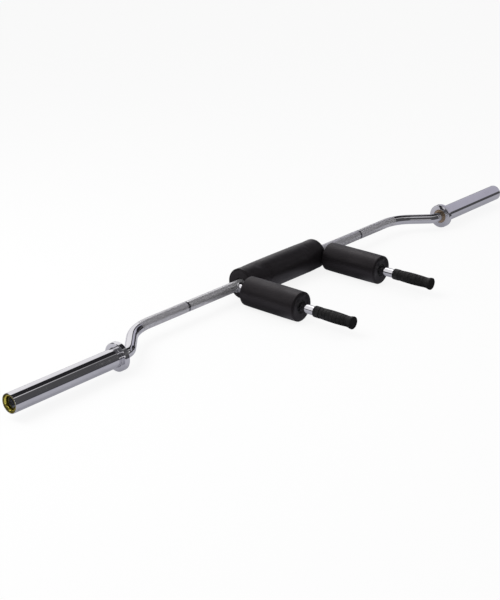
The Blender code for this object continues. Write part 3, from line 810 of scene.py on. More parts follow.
# %% Make the arms and lay the beads
ARM_RADIUS = 12.7 * MM
ARM_WALL = 2.5 * MM
ARM_SIDES = 64
ARM_TOP = grip_end - 4.8 * MM  # inside the grip's closed end
COPE_GAP = 0.3 * MM
COPE_LEAST = 2.5 * MM          # how near the shaft's axis the tube reaches where it passes under
BEAD_STEPS = 132
BEAD_SIDES = 14
BEAD_RADIUS = 2.5 * MM
BEAD_STAND = 0.8 * MM
BEAD_LEAST = 5.0 * MM
BEAD_PUDDLES = 33
BEAD_SCALLOP = 0.13
BEAD_UNEVEN = 0.06


def saddle_height(height, clearance, least):
    """How far in front of the shaft's axis its surface is, at a height over the arm's axis."""
    level = height + arm_z - shaft_z
    reach = SHAFT_RADIUS + clearance
    return math.sqrt(max(reach ** 2 - level ** 2, least ** 2))


def tube_ring(place, radius, height=None):
    """A ring of the tube, flat at a height or else lying on the shaft."""
    points = []
    for turn in turns(ARM_SIDES):
        x, y = radius * math.sin(turn), radius * math.cos(turn)
        level = saddle_height(y, COPE_GAP, COPE_LEAST) if height is None else height
        points.append(place @ Vector((x, y, level)))
    return points


def seam(step):
    """A point on the line where tube and shaft meet."""
    turn = 2 * math.pi * step / BEAD_STEPS
    reach = ARM_RADIUS + BEAD_STAND
    x, y = reach * math.sin(turn), reach * math.cos(turn)
    return Vector((x, y, saddle_height(y, 0.0, BEAD_LEAST)))


def bead_ring(place, step):
    """One ring of the bead, square to that line."""
    here = seam(step)
    along = (seam(step + 1) - seam(step - 1)).normalized()
    out = Vector((here.x, here.y, 0.0)).normalized()
    out = (out - along * out.dot(along)).normalized()
    up = along.cross(out)
    puddle = (step * BEAD_PUDDLES / BEAD_STEPS) % 1.0
    swell = 1.0 + BEAD_SCALLOP * (math.sin(math.pi * puddle) ** 0.6 - 0.5)
    swell += BEAD_UNEVEN * noise.noise(Vector((step * 0.35, 0.0, 3.0)))
    points = []
    for turn in turns(BEAD_SIDES):
        offset = out * math.cos(turn) + up * math.sin(turn)
        points.append(place @ (here + offset * BEAD_RADIUS * swell))
    return points


def make_arm(word, side):
    place = arm_place(side)
    bore = ARM_RADIUS - ARM_WALL
    tube = [tube_ring(place, ARM_RADIUS)]
    for height in (roll_start, grip_start - 1.0 * MM, ARM_TOP - SUPPORT, ARM_TOP):
        tube.append(tube_ring(place, ARM_RADIUS, height))
    tube += [tube_ring(place, bore, ARM_TOP), tube_ring(place, bore, roll_start), tube_ring(place, bore)]
    work = bmesh.new()
    add_skin(work, tube, looped=True)
    add_skin(work, [bead_ring(place, step) for step in range(BEAD_STEPS)], looped=True)
    dress(finished(word + "_welded_arm", work, TUBE_CHROME), "yoke", "chrome_tube", word + "_arm")


for word, side in SIDES:
    make_arm(word, side)

# %% [markdown]
# ## Sleeves and collars
#
# A sleeve is a 50 mm tube, and the collar is a ring that is welded to it and stops the
# plates. Both were turned, ground and plated. What makes them read as machined metal are
# the broken edges: a fine chamfer round the sleeve's mouth, a wide one on the collar, and
# the small fillet where they meet. 128 sides keep the outline round even in a close view.

# %% Turn the sleeves and collars
SLEEVE_RADIUS = 25.0 * MM
SLEEVE_WALL = 3.0 * MM
SLEEVE_CHAMFER = 0.8 * MM
SLEEVE_SIDES = 128
COLLAR_RADIUS = 37.5 * MM
COLLAR_THICKNESS = 15.0 * MM
COLLAR_LIP = 3.0 * MM
COLLAR_CHAMFER = 1.8 * MM
COLLAR_FILLET = 1.3 * MM
MOUTH_STEP = 1.4 * MM          # the sleeve's mouth is bored wider by this, for the yellow ring's lip
MOUTH_DEPTH = 1.2 * MM
FIT_GAP = 0.3 * MM
sleeve_bore = SLEEVE_RADIUS - SLEEVE_WALL


def sleeve_outline():
    start = COLLAR_LIP + FIT_GAP
    return rounded([
        (SLEEVE_RADIUS - SLEEVE_CHAMFER, sleeve_end, 0.25 * MM),
        (SLEEVE_RADIUS, sleeve_end - SLEEVE_CHAMFER, 0.25 * MM),
        (SLEEVE_RADIUS, start, 0.0),
        (sleeve_bore, start, 0.0),
        (sleeve_bore, sleeve_end - MOUTH_DEPTH - MOUTH_STEP, 0.0),
        (sleeve_bore + MOUTH_STEP, sleeve_end - MOUTH_DEPTH, 0.0),
        (sleeve_bore + MOUTH_STEP, sleeve_end, 0.2 * MM),
    ])


def collar_outline():
    seat = SLEEVE_RADIUS + FIT_GAP
    toe = seat + 0.2 * MM
    face = COLLAR_THICKNESS
    return rounded([
        (seat, face + COLLAR_FILLET, 0.0),
        (toe, face + COLLAR_FILLET, 0.0),
        (toe, face, COLLAR_FILLET - 0.05 * MM),
        (COLLAR_RADIUS - COLLAR_CHAMFER, face, 0.3 * MM),
        (COLLAR_RADIUS, face - COLLAR_CHAMFER, 0.3 * MM),
        (COLLAR_RADIUS, 0.0, 0.9 * MM),
        (sleeve_bore, 0.0, 0.4 * MM),
        (sleeve_bore, COLLAR_LIP, 0.0),
        (seat, COLLAR_LIP, 0.0),
    ], 7)


for word, side in SIDES:
    body = word + "_sleeve"
    tube = turned(word + "_plate_sleeve", sleeve_outline(), sleeve_place(side), SLEEVE_SIDES, SLEEVE_CHROME)
    dress(tube, body, "chrome_sleeve", word + "_sleeve_tube")
    ring = turned(word + "_stop_collar", collar_outline(), sleeve_place(side), SLEEVE_SIDES, SLEEVE_CHROME)
    dress(ring, body, "chrome_sleeve", word + "_collar")

# %% [markdown]
# ## Bushes, washers and circlips
#
# The sleeve turns in two bushes. The inner one is bronze and shows as a warm ring round the
# shaft. The outer one ends in a yellow, rounded mouth. Bronze for bushes is pressed from
# powder, so it has fine pores; the yellow ring is polished and only stained; the washer and
# the circlip are dark, oiled steel. One recipe serves all three, with other numbers.

# %% Mix the bush metals and the dark steel
def plain_metal(place, light, stained, stain_scale, smooth, rough, pores, pore_scale):
    stain = soft_step(spots(place, stain_scale, 4.0), 0.38, 0.68)
    return {
        "Base Color": blend_colours(stain, light, stained),
        "Roughness": soft_step(stain, 0.0, 1.0, smooth, rough),
        "Normal": bump(spots(place, pore_scale, 2.0), 0.06 * MM, pores),
        "Metallic": 1.0,
    }


BRASS = mixed("polished_brass", plain_metal, (0.80, 0.70, 0.13), (0.62, 0.50, 0.08),
              160.0, 0.14, 0.26, 0.10, 1500.0)
BRONZE = mixed("pressed_bronze", plain_metal, (0.50, 0.38, 0.26), (0.29, 0.22, 0.15),
               220.0, 0.30, 0.45, 0.45, 2600.0)
DARK_STEEL = mixed("oiled_steel", plain_metal, (0.22, 0.22, 0.23), (0.10, 0.10, 0.11),
                   180.0, 0.28, 0.45, 0.25, 1800.0)

# %% [markdown]
# The bushes and the washer are plain rings, so the lathe makes them. The yellow ring has a
# lip that fills the step in the sleeve's mouth, and a full rounding inward, which is what
# catches the light. A circlip is stamped from spring steel: an open ring with two lugs and
# a hole in each for the pliers. It is drawn as a flat curve, because a filled curve takes
# holes and a small bevel without any boolean.

# %% Turn the bushes and washers, and stamp the circlips
INNER_BUSH_LENGTH = 40.0 * MM
INNER_BUSH_INSET = 0.5 * MM
OUTER_BUSH_LENGTH = 45.0 * MM
OUTER_BUSH_INSET = 1.0 * MM
RING_MOUTH = 5.8 * MM
POCKET_RADIUS = 16.5 * MM
RUNNING_GAP = 0.3 * MM
WASHER_THICKNESS = 2.0 * MM
WASHER_WIDTH = 3.0 * MM
CIRCLIP_THICKNESS = 1.2 * MM
CIRCLIP_WIDTH = 2.8 * MM
CIRCLIP_OPENING = 6.0 * MM
CIRCLIP_LUG = 3.6 * MM
CIRCLIP_LUG_RISE = 1.0 * MM
CIRCLIP_HOLE = 0.7 * MM
CIRCLIP_BEVEL = 0.12 * MM
CIRCLIP_STEPS = 72
HOLE_SIDES = 20
BUSH_SIDES = 96
bush_radius = sleeve_bore - FIT_GAP
bush_bore = JOURNAL_RADIUS + RUNNING_GAP


def ring_outline(inner, outer, low, high, edge):
    """A plain ring's section with broken edges."""
    return rounded([(outer, high, edge), (outer, low, edge), (inner, low, edge), (inner, high, edge)])


def inner_bush_outline():
    foot = INNER_BUSH_INSET
    return ring_outline(bush_bore, bush_radius, foot, foot + INNER_BUSH_LENGTH, 0.5 * MM)


def outer_bush_outline():
    top = sleeve_end - OUTER_BUSH_INSET
    foot = top - OUTER_BUSH_LENGTH
    floor = groove_foot - WASHER_THICKNESS - FIT_GAP
    lip = bush_radius + MOUTH_STEP
    return rounded([
        (lip, top, 0.15 * MM),
        (lip, sleeve_end - MOUTH_DEPTH, 0.0),
        (bush_radius, sleeve_end - MOUTH_DEPTH - MOUTH_STEP, 0.0),
        (bush_radius, foot, 0.5 * MM),
        (bush_bore, foot, 0.5 * MM),
        (bush_bore, floor, 0.3 * MM),
        (POCKET_RADIUS, floor, 0.3 * MM),
        (POCKET_RADIUS, top, RING_MOUTH),
    ], 10)


def washer_outline():
    inner = JOURNAL_RADIUS + FIT_GAP
    foot = groove_foot - WASHER_THICKNESS
    return ring_outline(inner, inner + WASHER_WIDTH, foot, groove_foot - FIT_GAP / 2, 0.3 * MM)


def circlip_outlines():
    """The outline of the split ring with its two lugs, and of the hole in each lug."""
    inner = JOURNAL_RADIUS - GROOVE_DEPTH + FIT_GAP
    outer = inner + CIRCLIP_WIDTH
    lug = outer + CIRCLIP_LUG_RISE
    start = CIRCLIP_OPENING / 2 / outer
    lug_end = start + CIRCLIP_LUG / outer
    steps = CIRCLIP_STEPS
    ring = [(lug, start), (lug, lug_end)]
    ring += [(outer, lug_end + 2 * (math.pi - lug_end) * step / steps) for step in range(steps + 1)]
    ring += [(lug, -lug_end), (lug, -start)]
    ring += [(inner, -start - 2 * (math.pi - start) * step / steps) for step in range(steps + 1)]
    outlines = [[(radius * math.cos(turn), radius * math.sin(turn)) for radius, turn in ring]]
    eye = (inner + lug) / 2
    for angle in (start + CIRCLIP_LUG / outer / 2, -start - CIRCLIP_LUG / outer / 2):
        x, y = eye * math.cos(angle), eye * math.sin(angle)
        outlines.append([(x + CIRCLIP_HOLE * math.cos(turn), y + CIRCLIP_HOLE * math.sin(turn))
                         for turn in turns(HOLE_SIDES)])
    return outlines


def shown_mesh(thing):
    """The mesh that a curve or a modifier shows. The thing itself is thrown away."""
    bpy.context.view_layer.update()
    mesh = bpy.data.meshes.new_from_object(thing.evaluated_get(bpy.context.evaluated_depsgraph_get()))
    bpy.data.objects.remove(thing, do_unlink=True)
    return mesh


def make_circlip(word, side):
    curve = bpy.data.curves.new(word + "_circlip_curve", "CURVE")
    curve.dimensions = "2D"
    curve.fill_mode = "BOTH"
    curve.extrude = CIRCLIP_THICKNESS / 2 - CIRCLIP_BEVEL
    curve.bevel_depth = CIRCLIP_BEVEL
    curve.bevel_resolution = 1
    curve.offset = -CIRCLIP_BEVEL
    for points in circlip_outlines():
        spline = curve.splines.new("POLY")
        spline.points.add(len(points) - 1)
        for target, (x, y) in zip(spline.points, points):
            target.co = (x, y, 0.0, 1.0)
        spline.use_cyclic_u = True
    work = bmesh.new()
    work.from_mesh(shown_mesh(add_object(word + "_circlip_curve", curve)))
    bmesh.ops.remove_doubles(work, verts=work.verts, dist=0.001 * MM)
    seat = sleeve_place(side) @ raised(shaft_end - GROOVE_INSET - GROOVE_WIDTH / 2)
    bmesh.ops.transform(work, matrix=seat, verts=work.verts)
    dress(finished(word + "_snap_ring", work, DARK_STEEL), "yoke", "dark_steel", word + "_circlip")


for word, side in SIDES:
    place = sleeve_place(side)
    inner = turned(word + "_bronze_bush", inner_bush_outline(), place, BUSH_SIDES, BRONZE)
    dress(inner, word + "_sleeve", "bronze", word + "_inner_bush")
    outer = turned(word + "_brass_ring", outer_bush_outline(), place, BUSH_SIDES, BRASS)
    dress(outer, word + "_sleeve", "brass_ring", word + "_outer_bush")
    washer = turned(word + "_steel_washer", washer_outline(), place, BUSH_SIDES, DARK_STEEL)
    dress(washer, "yoke", "dark_steel", word + "_thrust_washer")
    make_circlip(word, side)

# %% [markdown]
# ## Rubber grips
#
# Each grip is moulded in one go: a smooth lip, seven wide ribs for the fingers, a waist,
# and a flared, slightly domed end that stops the hand. Moulded rubber is matt with a fine
# sandy grain from the tool, and gets a little smoother where hands rub the ribs. The rub
# is a cloudy noise that lowers the roughness, and the grain is a much finer one in the bump.

# %% Mix the rubber
def rubber(place):
    rub = soft_step(spots(place, 70.0, 4.0), 0.35, 0.7)
    return {
        "Base Color": blend_colours(rub, (0.0060, 0.0058, 0.0060), (0.0105, 0.0100, 0.0098)),
        "Roughness": soft_step(rub, 0.0, 1.0, 0.62, 0.48),
        "Normal": bump(spots(place, 2200.0, 2.0), 0.10 * MM, 0.5),
        "Specular IOR Level": 0.35,
    }


RUBBER = mixed("moulded_rubber", rubber)

# %% [markdown]
# The grip swells a little towards the middle of the palm, and narrow grooves cut that
# barrel into seven wide ribs. They could be booleans on a plain tube, but a formula for
# the radius is shorter and leaves even rows of points: first the smooth body, then the
# grooves taken off it.

# %% Mould the grips
LIP_RADIUS = 15.8 * MM
LIP_LENGTH = 19.5 * MM
LIP_ROUND = 1.2 * MM
RIB_RADIUS = 15.1 * MM         # at both ends of the ribs
GRIP_BARREL = 1.3 * MM         # how much more in the middle
RIBS = 7
RIB_PITCH = 12.0 * MM
GROOVE_REACH = 1.8 * MM        # from the middle of a groove to its edge
GROOVE_CUT = 0.8 * MM
WAIST_RADIUS = 15.0 * MM
FLANGE_RADIUS = 17.4 * MM
FLANGE_LENGTH = 12.0 * MM
FLANGE_EDGE = 3.0 * MM
FLANGE_ROUND = 1.0 * MM
GRIP_DOME = 3.5 * MM
DOME_RINGS = 14
GRIP_FLOOR = 4.5 * MM          # from the grip's end in to the floor of its bore
GRIP_SIDES = 72
RING_STEP = 0.4 * MM
ribs_end = LIP_LENGTH + RIBS * RIB_PITCH
flare_start = grip_end - grip_start - GRIP_DOME - FLANGE_EDGE - FLANGE_LENGTH


def ease(share):
    share = min(max(share, 0.0), 1.0)
    return share * share * (3.0 - 2.0 * share)


def quarter(steps):
    """Even steps through a right angle."""
    return [math.pi / 2 * step / steps for step in range(steps + 1)]


def body_radius(along):
    """Radius at a distance from the grip's open end, as if it had no grooves."""
    if along > flare_start:
        return WAIST_RADIUS + (FLANGE_RADIUS - WAIST_RADIUS) * ease((along - flare_start) / FLANGE_LENGTH)
    if along > ribs_end:
        return RIB_RADIUS + (WAIST_RADIUS - RIB_RADIUS) * ease((along - ribs_end) / (flare_start - ribs_end))
    if along > LIP_LENGTH:
        from_middle = 2.0 * (along - LIP_LENGTH) / (ribs_end - LIP_LENGTH) - 1.0
        return RIB_RADIUS + GRIP_BARREL * (1.0 - from_middle ** 2)
    inset = max(LIP_ROUND - along, 0.0)
    step_down = (LIP_RADIUS - RIB_RADIUS) * ease((along - LIP_LENGTH + GROOVE_REACH) / GROOVE_REACH)
    return LIP_RADIUS - LIP_ROUND + math.sqrt(LIP_ROUND ** 2 - inset ** 2) - step_down


def grip_radius(along):
    """Radius of the grip's outside, with its grooves, up to the flange's edge."""
    nearest = min(max(round((along - LIP_LENGTH) / RIB_PITCH), 0), RIBS)
    off_groove = abs(along - LIP_LENGTH - nearest * RIB_PITCH)
    return body_radius(along) - GROOVE_CUT * (1.0 - ease(off_groove / GROOVE_REACH))


def grip_outline():
    """From the middle of the bore's floor, out at the open end and over the ribs to the dome."""
    bore = ARM_RADIUS + FIT_GAP
    floor = grip_end - GRIP_FLOOR
    outline = [(0.2 * MM, floor), (bore - 0.5 * MM, floor), (bore, floor - 0.5 * MM)]
    outline += [(bore, grip_start + 0.5 * MM), (bore + 0.4 * MM, grip_start)]
    edge_end = grip_end - grip_start - GRIP_DOME
    count = round((edge_end - FLANGE_EDGE) / RING_STEP)
    for step in range(count + 1):
        along = (edge_end - FLANGE_EDGE) * step / count
        outline.append((grip_radius(along), grip_start + along))
    for turn in quarter(8)[1:]:
        outline.append((FLANGE_RADIUS - FLANGE_ROUND * (1 - math.cos(turn)),
                        grip_start + edge_end - FLANGE_ROUND + FLANGE_ROUND * math.sin(turn)))
    rim = FLANGE_RADIUS - FLANGE_ROUND
    for step in range(1, DOME_RINGS + 1):
        radius = rim * (1 - step / (DOME_RINGS + 0.2))
        outline.append((radius, grip_start + edge_end + GRIP_DOME * (1 - (radius / rim) ** 2)))
    return outline


for word, side in SIDES:
    grip = turned(word + "_rubber_grip", grip_outline(), arm_place(side), GRIP_SIDES, RUBBER, looped=False)
    dress(grip, "yoke", "grip_rubber", word + "_grip")

# %% [markdown]
# ## Vinyl, foam and thread
#
# The rolls are foam tubes in sewn covers of black vinyl. Vinyl is embossed with a leather
# grain: small rounded cells, about a millimetre across, between fine creases. A cell
# texture gives them, once its place has been shaken a little by a noise so that no two
# cells are alike. The black is never quite even, and it is shinier where it has been
# rubbed. The foam shows only as a dark ring inside each end hole. The thread is a little
# paler than the vinyl and has the twist of its strands in the bump.

# %% Mix the soft materials
def cells(place, scale, **settings):
    """How far a point is from the middle of its cell."""
    inputs = {"Vector": place, "Scale": scale}
    return add_node(place, "ShaderNodeTexVoronoi", inputs, **settings).outputs["Distance"]


def vinyl(place):
    inputs = {"Vector": place, "Scale": 220.0, "Detail": 2.0}
    warp = add_node(place, "ShaderNodeTexNoise", inputs).outputs["Color"]
    drift = add_node(place, "ShaderNodeVectorMath", {0: warp, "Scale": 0.0022}, operation="SCALE").outputs[0]
    moved = add_node(place, "ShaderNodeVectorMath", {0: place, 1: drift}, operation="ADD").outputs[0]
    crease = soft_step(cells(moved, 850.0, feature="SMOOTH_F1"), 0.25, 0.75)
    rub = soft_step(spots(place, 11.0, 4.0), 0.35, 0.70)
    tint = blend_colours(rub, (0.0068, 0.0058, 0.0065), (0.0090, 0.0078, 0.0086))
    pebble = plus(minus(1.0, crease), times(spots(place, 2400.0, 2.0), 0.25))
    soft = bump(spots(place, 55.0, 2.0), 1.2 * MM, 0.10)
    # Painted shade: the creases between the cells of the grain are a little darker.
    return {
        "Base Color": blend_colours(crease, tint, (0.0045, 0.0039, 0.0043)),
        "Roughness": soft_step(rub, 0.0, 1.0, 0.46, 0.38),
        "Normal": bump(pebble, 0.12 * MM, 0.35, Normal=soft),
        "Specular IOR Level": 0.41,
        "Specular Tint": (1.0, 0.91, 0.97),
    }


def foam(place):
    hole = soft_step(cells(place, 1100.0), 0.05, 0.55)
    # Painted shade: the middle of each pore is darker than the foam round it.
    return {
        "Base Color": blend_colours(hole, (0.006, 0.006, 0.006), (0.030, 0.030, 0.031)),
        "Roughness": soft_step(hole, 0.0, 1.0, 0.95, 0.85),
        "Normal": bump(hole, 0.3 * MM, 0.8),
    }


def thread(place):
    twist = spots(place, 3200.0, 1.0)
    return {
        "Base Color": blend_colours(twist, (0.012, 0.012, 0.013), (0.035, 0.034, 0.036)),
        "Roughness": soft_step(twist, 0.3, 0.7, 0.5, 0.75),
        "Normal": bump(twist, 0.08 * MM, 0.6),
    }


VINYL = mixed("black_vinyl", vinyl)
FOAM = mixed("black_foam", foam)
THREAD = mixed("black_thread", thread)

# %% [markdown]
# ## How a padded cover takes its shape
#
# A sewn cover isn't a perfect cylinder. The foam presses outward, the seams hold it back,
# and the vinyl between them settles into very shallow swells. Blender's cloth simulation
# finds those. A coarse copy of the cover, a little smaller, is remeshed into even squares,
# pinned at its seams and end holes, and blown up gently. What comes out isn't used as the
# surface, because its squares are too coarse for a crisp seam. Only how far each point
# moved is kept, and the finely made cover is pushed by that amount.

# %% Inflate a coarse cover and keep its movement
VOXEL = 5.0 * MM
CLOTH_FRAMES = 20
CLOTH_START = 1.0 * MM         # how much smaller the coarse cover starts
MOVE_CAP = 3.0 * MM
NEAREST = 8                    # simulated points that one point's movement is taken from
CLOTH_SETTINGS = {
    "quality": 6,
    "mass": 0.4,
    "tension_stiffness": 25.0,
    "compression_stiffness": 25.0,
    "shear_stiffness": 8.0,
    "bending_stiffness": 1.2,
    "shrink_min": -0.012,
    "use_pressure": True,
    "uniform_pressure_force": 4.0,
    "vertex_group_mass": "pins",
}


def remeshed(name, piece):
    """An evenly squared copy of a closed piece."""
    modifier = piece.modifiers.new("squares", "REMESH")
    modifier.mode = "VOXEL"
    modifier.voxel_size = VOXEL
    return add_object(name, shown_mesh(piece))


def inflate(copy, held):
    """Blows up a closed mesh whose held points stay put. Returns its rest points and their movement."""
    pins = copy.vertex_groups.new(name="pins")
    pins.add(held, 1.0, "REPLACE")
    rest = [vertex.co.copy() for vertex in copy.data.vertices]
    cloth = copy.modifiers.new("vinyl", "CLOTH")
    for name, value in CLOTH_SETTINGS.items():
        setattr(cloth.settings, name, value)
    cloth.settings.effector_weights.gravity = 0.0
    cloth.collision_settings.use_collision = False
    cloth.point_cache.frame_start = 1
    cloth.point_cache.frame_end = CLOTH_FRAMES
    for number in range(1, CLOTH_FRAMES + 1):
        scene.frame_set(number)
    blown = copy.evaluated_get(bpy.context.evaluated_depsgraph_get())
    moves = [vertex.co - start for vertex, start in zip(blown.data.vertices, rest)]
    scene.frame_set(1)
    bpy.data.objects.remove(copy, do_unlink=True)
    return rest, moves


def movement_map(rest, moves):
    """A function that gives the movement near any point, from the nearest simulated points."""
    near = KDTree(len(rest))
    for index, point in enumerate(rest):
        near.insert(point, index)
    near.balance()

    def movement(point):
        total = Vector((0.0, 0.0, 0.0))
        weight = 0.0
        for _, index, distance in near.find_n(point, NEAREST):
            share = 1.0 / (distance + VOXEL * 0.4) ** 2
            total += moves[index] * share
            weight += share
        return total / weight
    return movement


# %% [markdown]
# ## The outline of a roll
#
# Seen in section, a roll has a hemmed hole, a nearly flat end panel, a seam where the end
# panel meets the barrel panel, a firm rounded rim outside that seam, and a barrel that is a
# hair thicker in the middle. The seam lies on the end face, just inside the rim, where the
# photograph has a dark arc. `RollShape` holds one roll's sizes, so that the coarse cover,
# the fine cover, the foam and the flap all use the same ones.

# %% Describe a roll
HOLE_RADIUS = 17.5 * MM
HEM_ROUND = 1.6 * MM
HEM_DEPTH = 9.0 * MM           # how far the hem reaches into the bore
HEM_STEPS = 4
ROLL_EDGE = 3.0 * MM
BARREL_CROWN = 0.6 * MM
SEAM_INSET = 4.5 * MM          # from the barrel's surface to the seam on the end face
SEAM_DEPTH = 1.3 * MM
SEAM_WIDTH = 1.0 * MM
END_DISH = 0.6 * MM            # how much the end panel swells between hole and seam


class RollShape:
    def __init__(self, name, place, radius, bottom, top, sides):
        self.name = name
        self.place = place
        self.radius = radius
        self.middle = (bottom + top) / 2
        self.half = (top - bottom) / 2
        self.seam_radius = radius - SEAM_INSET
        self.sides = sides

    def barrel(self, height):
        """Radius of the barrel at a height from the roll's middle."""
        return self.radius - BARREL_CROWN * abs(height / (self.half - ROLL_EDGE)) ** 4

    def half_outline(self, face_steps, edge_steps, barrel_steps):
        """From the middle of the bore, round the hem, over the end and down to the barrel's middle."""
        lift = self.half - END_DISH
        points = [(HOLE_RADIUS, 0.0), (HOLE_RADIUS, lift - HEM_DEPTH)]
        points.append((HOLE_RADIUS, lift - HEM_ROUND - 0.5 * MM))
        for turn in quarter(HEM_STEPS)[:-1]:
            hem = HOLE_RADIUS + HEM_ROUND * (1 - math.cos(turn))
            points.append((hem, lift - HEM_ROUND * (1 - math.sin(turn))))
        inner = HOLE_RADIUS + HEM_ROUND
        outer = self.radius - BARREL_CROWN - ROLL_EDGE
        for step in range(face_steps):
            share = step / face_steps
            swell = END_DISH * math.sin(math.pi * share)
            points.append((inner + (outer - inner) * share, self.half + swell - END_DISH))
        reach = self.half - ROLL_EDGE
        for turn in quarter(edge_steps):
            rise = reach - (END_DISH * math.cos(turn) ** 2)
            points.append((outer + ROLL_EDGE * math.sin(turn), rise + ROLL_EDGE * math.cos(turn)))
        for step in range(1, barrel_steps):
            height = reach * (1 - step / barrel_steps)
            points.append((self.barrel(height), height))
        return points

    def turn(self, name, *steps):
        """The whole cover, turned in vinyl at the roll's place."""
        top = self.half_outline(*steps)
        bottom = [(radius, -height) for radius, height in reversed(top[1:])]
        outline = top + [(self.radius, 0.0)] + bottom
        return turned(name, outline, self.place @ raised(self.middle), self.sides, VINYL)

    def locate(self, point):
        """(distance from the roll's axis, height from its middle, angle round it) of a point."""
        local = self.place.inverted() @ point
        return math.hypot(local.x, local.y), local.z - self.middle, math.atan2(local.y, local.x)


NECK_RADIUS = 45.5 * MM
SHOULDER_RADIUS = 42.5 * MM
neck_place = Matrix.Translation((0.0, shaft_y, shaft_z)) @ Matrix.Rotation(math.pi / 2, 4, "Y")
NECK_SHAPE = RollShape("neck_roll", neck_place, NECK_RADIUS, -neck_half, neck_half, 144)
SHOULDER_SHAPES = [
    RollShape(word + "_shoulder_roll", arm_place(side), SHOULDER_RADIUS, roll_start, roll_end, 132)
    for word, side in SIDES
]
for shape in [NECK_SHAPE] + SHOULDER_SHAPES:
    print(shape.name, "is", round(2 * shape.half / MM, 1), "mm long")

# %% [markdown]
# ## Sewing the covers
#
# The fine cover starts from its outline and is then pressed, point by point: in at the
# seams, with small puckers beside them, out or in by what the simulation found, and flat
# where the roll lies on the table. The average movement of the barrel is taken off first,
# so that the rolls keep the thickness that the photograph gives, and towards the ends the
# rest fades out, because the seams hold the vinyl there.

# %% Make the covers and the foam
COVER_STEPS = (36, 12, 46)     # over the end, round the edge and along half of the barrel
COARSE_STEPS = (4, 3, 24)
COARSE_SIDES = 64
REST_SOFTNESS = 1.2 * MM
PUCKER = 0.22 * MM
END_BLEND = 3.0 * MM           # over this far, the seams' press comes in towards the end face
END_STRETCH = 75.0 * MM        # near its ends the barrel is held by the seams and swells less
FOAM_INSET = 2.2 * MM
FOAM_SIDES = 64


def simulate_cover(shape):
    reach = shape.half - CLOTH_START
    radius = shape.radius - CLOTH_START
    low, high = shape.middle - reach, shape.middle + reach
    coarse = RollShape(shape.name, shape.place, radius, low, high, COARSE_SIDES)
    copy = remeshed(shape.name + "_cloth", coarse.turn(shape.name + "_coarse", *COARSE_STEPS))
    held = []
    for vertex in copy.data.vertices:
        radius, height, _ = shape.locate(vertex.co)
        at_end = abs(height) > shape.half - 0.5 * ROLL_EDGE - CLOTH_START
        if radius < HOLE_RADIUS + VOXEL or (at_end and abs(radius - shape.seam_radius) < 0.5 * VOXEL):
            held.append(vertex.index)
    rest, moves = inflate(copy, held)
    moves = [move if move.length < MOVE_CAP else move * (MOVE_CAP / move.length) for move in moves]
    barrel = []
    for point, move in zip(rest, moves):
        radius, height, angle = shape.locate(point)
        if abs(height) < shape.half - 2 * ROLL_EDGE and radius > shape.seam_radius:
            local = shape.place.inverted().to_3x3() @ move
            barrel.append(local.x * math.cos(angle) + local.y * math.sin(angle))
    mean = sum(barrel) / len(barrel)
    print(" ", shape.name, "cloth:", len(rest), "points, barrel moved", round(mean / MM, 2),
          "mm on average, from", round(min(barrel) / MM, 2), "to", round(max(barrel) / MM, 2))
    return movement_map(rest, moves), mean


def press(shape, point, normal, movement, mean):
    """Where a point of the fine cover ends up."""
    radius, height, angle = shape.locate(point)
    moved = point.copy()
    at_end = ease((abs(height) - shape.half + ROLL_EDGE + END_BLEND) / END_BLEND)
    off_seam = (radius - shape.seam_radius) / SEAM_WIDTH
    ring = noise.noise(Vector((math.cos(angle) * 9.0, math.sin(angle) * 9.0, height * 40.0 + shape.middle)))
    moved -= normal * at_end * SEAM_DEPTH * math.exp(-off_seam * off_seam)
    moved += normal * at_end * PUCKER * ring * math.exp(-abs(off_seam) / 5.0)
    if movement is not None and radius > HOLE_RADIUS + 0.5 * MM:
        outward = shape.place.to_3x3() @ Vector((math.cos(angle), math.sin(angle), 0.0))
        push = movement(point)
        off_barrel = 1.0 - ease((radius - shape.seam_radius) / ROLL_EDGE)
        steady = ease((shape.half - abs(height)) / END_STRETCH)
        swell = (push.dot(outward) - mean) * steady
        moved += outward * swell * (1.0 - off_barrel) + (push - outward * push.dot(outward)) * off_barrel
    lift = REST_SOFTNESS - moved.z
    if lift > 0.0:
        moved.z = REST_SOFTNESS * math.exp(-lift / REST_SOFTNESS)
    return moved


def make_cover(shape, node):
    cover = shape.turn(shape.name + "_vinyl_cover", *COVER_STEPS)
    movement, mean = simulate_cover(shape)
    normals = [vertex.normal.copy() for vertex in cover.data.vertices]
    for vertex, normal in zip(cover.data.vertices, normals):
        vertex.co = press(shape, vertex.co, normal, movement, mean)
    cover.data.update()
    dress(cover, "yoke", "black_vinyl", node)
    return movement, mean


def make_core(shape, node, tube_radius):
    """The foam inside, which shows in the end holes: a tube that stops just behind the hem."""
    end = shape.half - END_DISH - FOAM_INSET
    outline = ring_outline(tube_radius + 0.35 * MM, HOLE_RADIUS - 0.3 * MM, -end, end, 0.9 * MM)
    core = turned(shape.name + "_foam_core", outline, shape.place @ raised(shape.middle), FOAM_SIDES, FOAM)
    dress(core, "yoke", "foam", node)


neck_movement, neck_mean = make_cover(NECK_SHAPE, "neck_roll_cover")
make_core(NECK_SHAPE, "neck_roll_foam", SHAFT_RADIUS)
for shape in SHOULDER_SHAPES:
    make_cover(shape, shape.name + "_cover")
    make_core(shape, shape.name + "_foam", ARM_RADIUS)

# %% [markdown]
# ## The closing flap
#
# The neck roll sits between two welded arms, so its cover can't be slid on. It is wrapped
# round and closed along the back with a stitched flap over hook and loop tape. The flap is
# a strip with rounded corners that lies on the cover, and its stitches are small capsules
# of thread, half sunk in the vinyl, all round its edge.

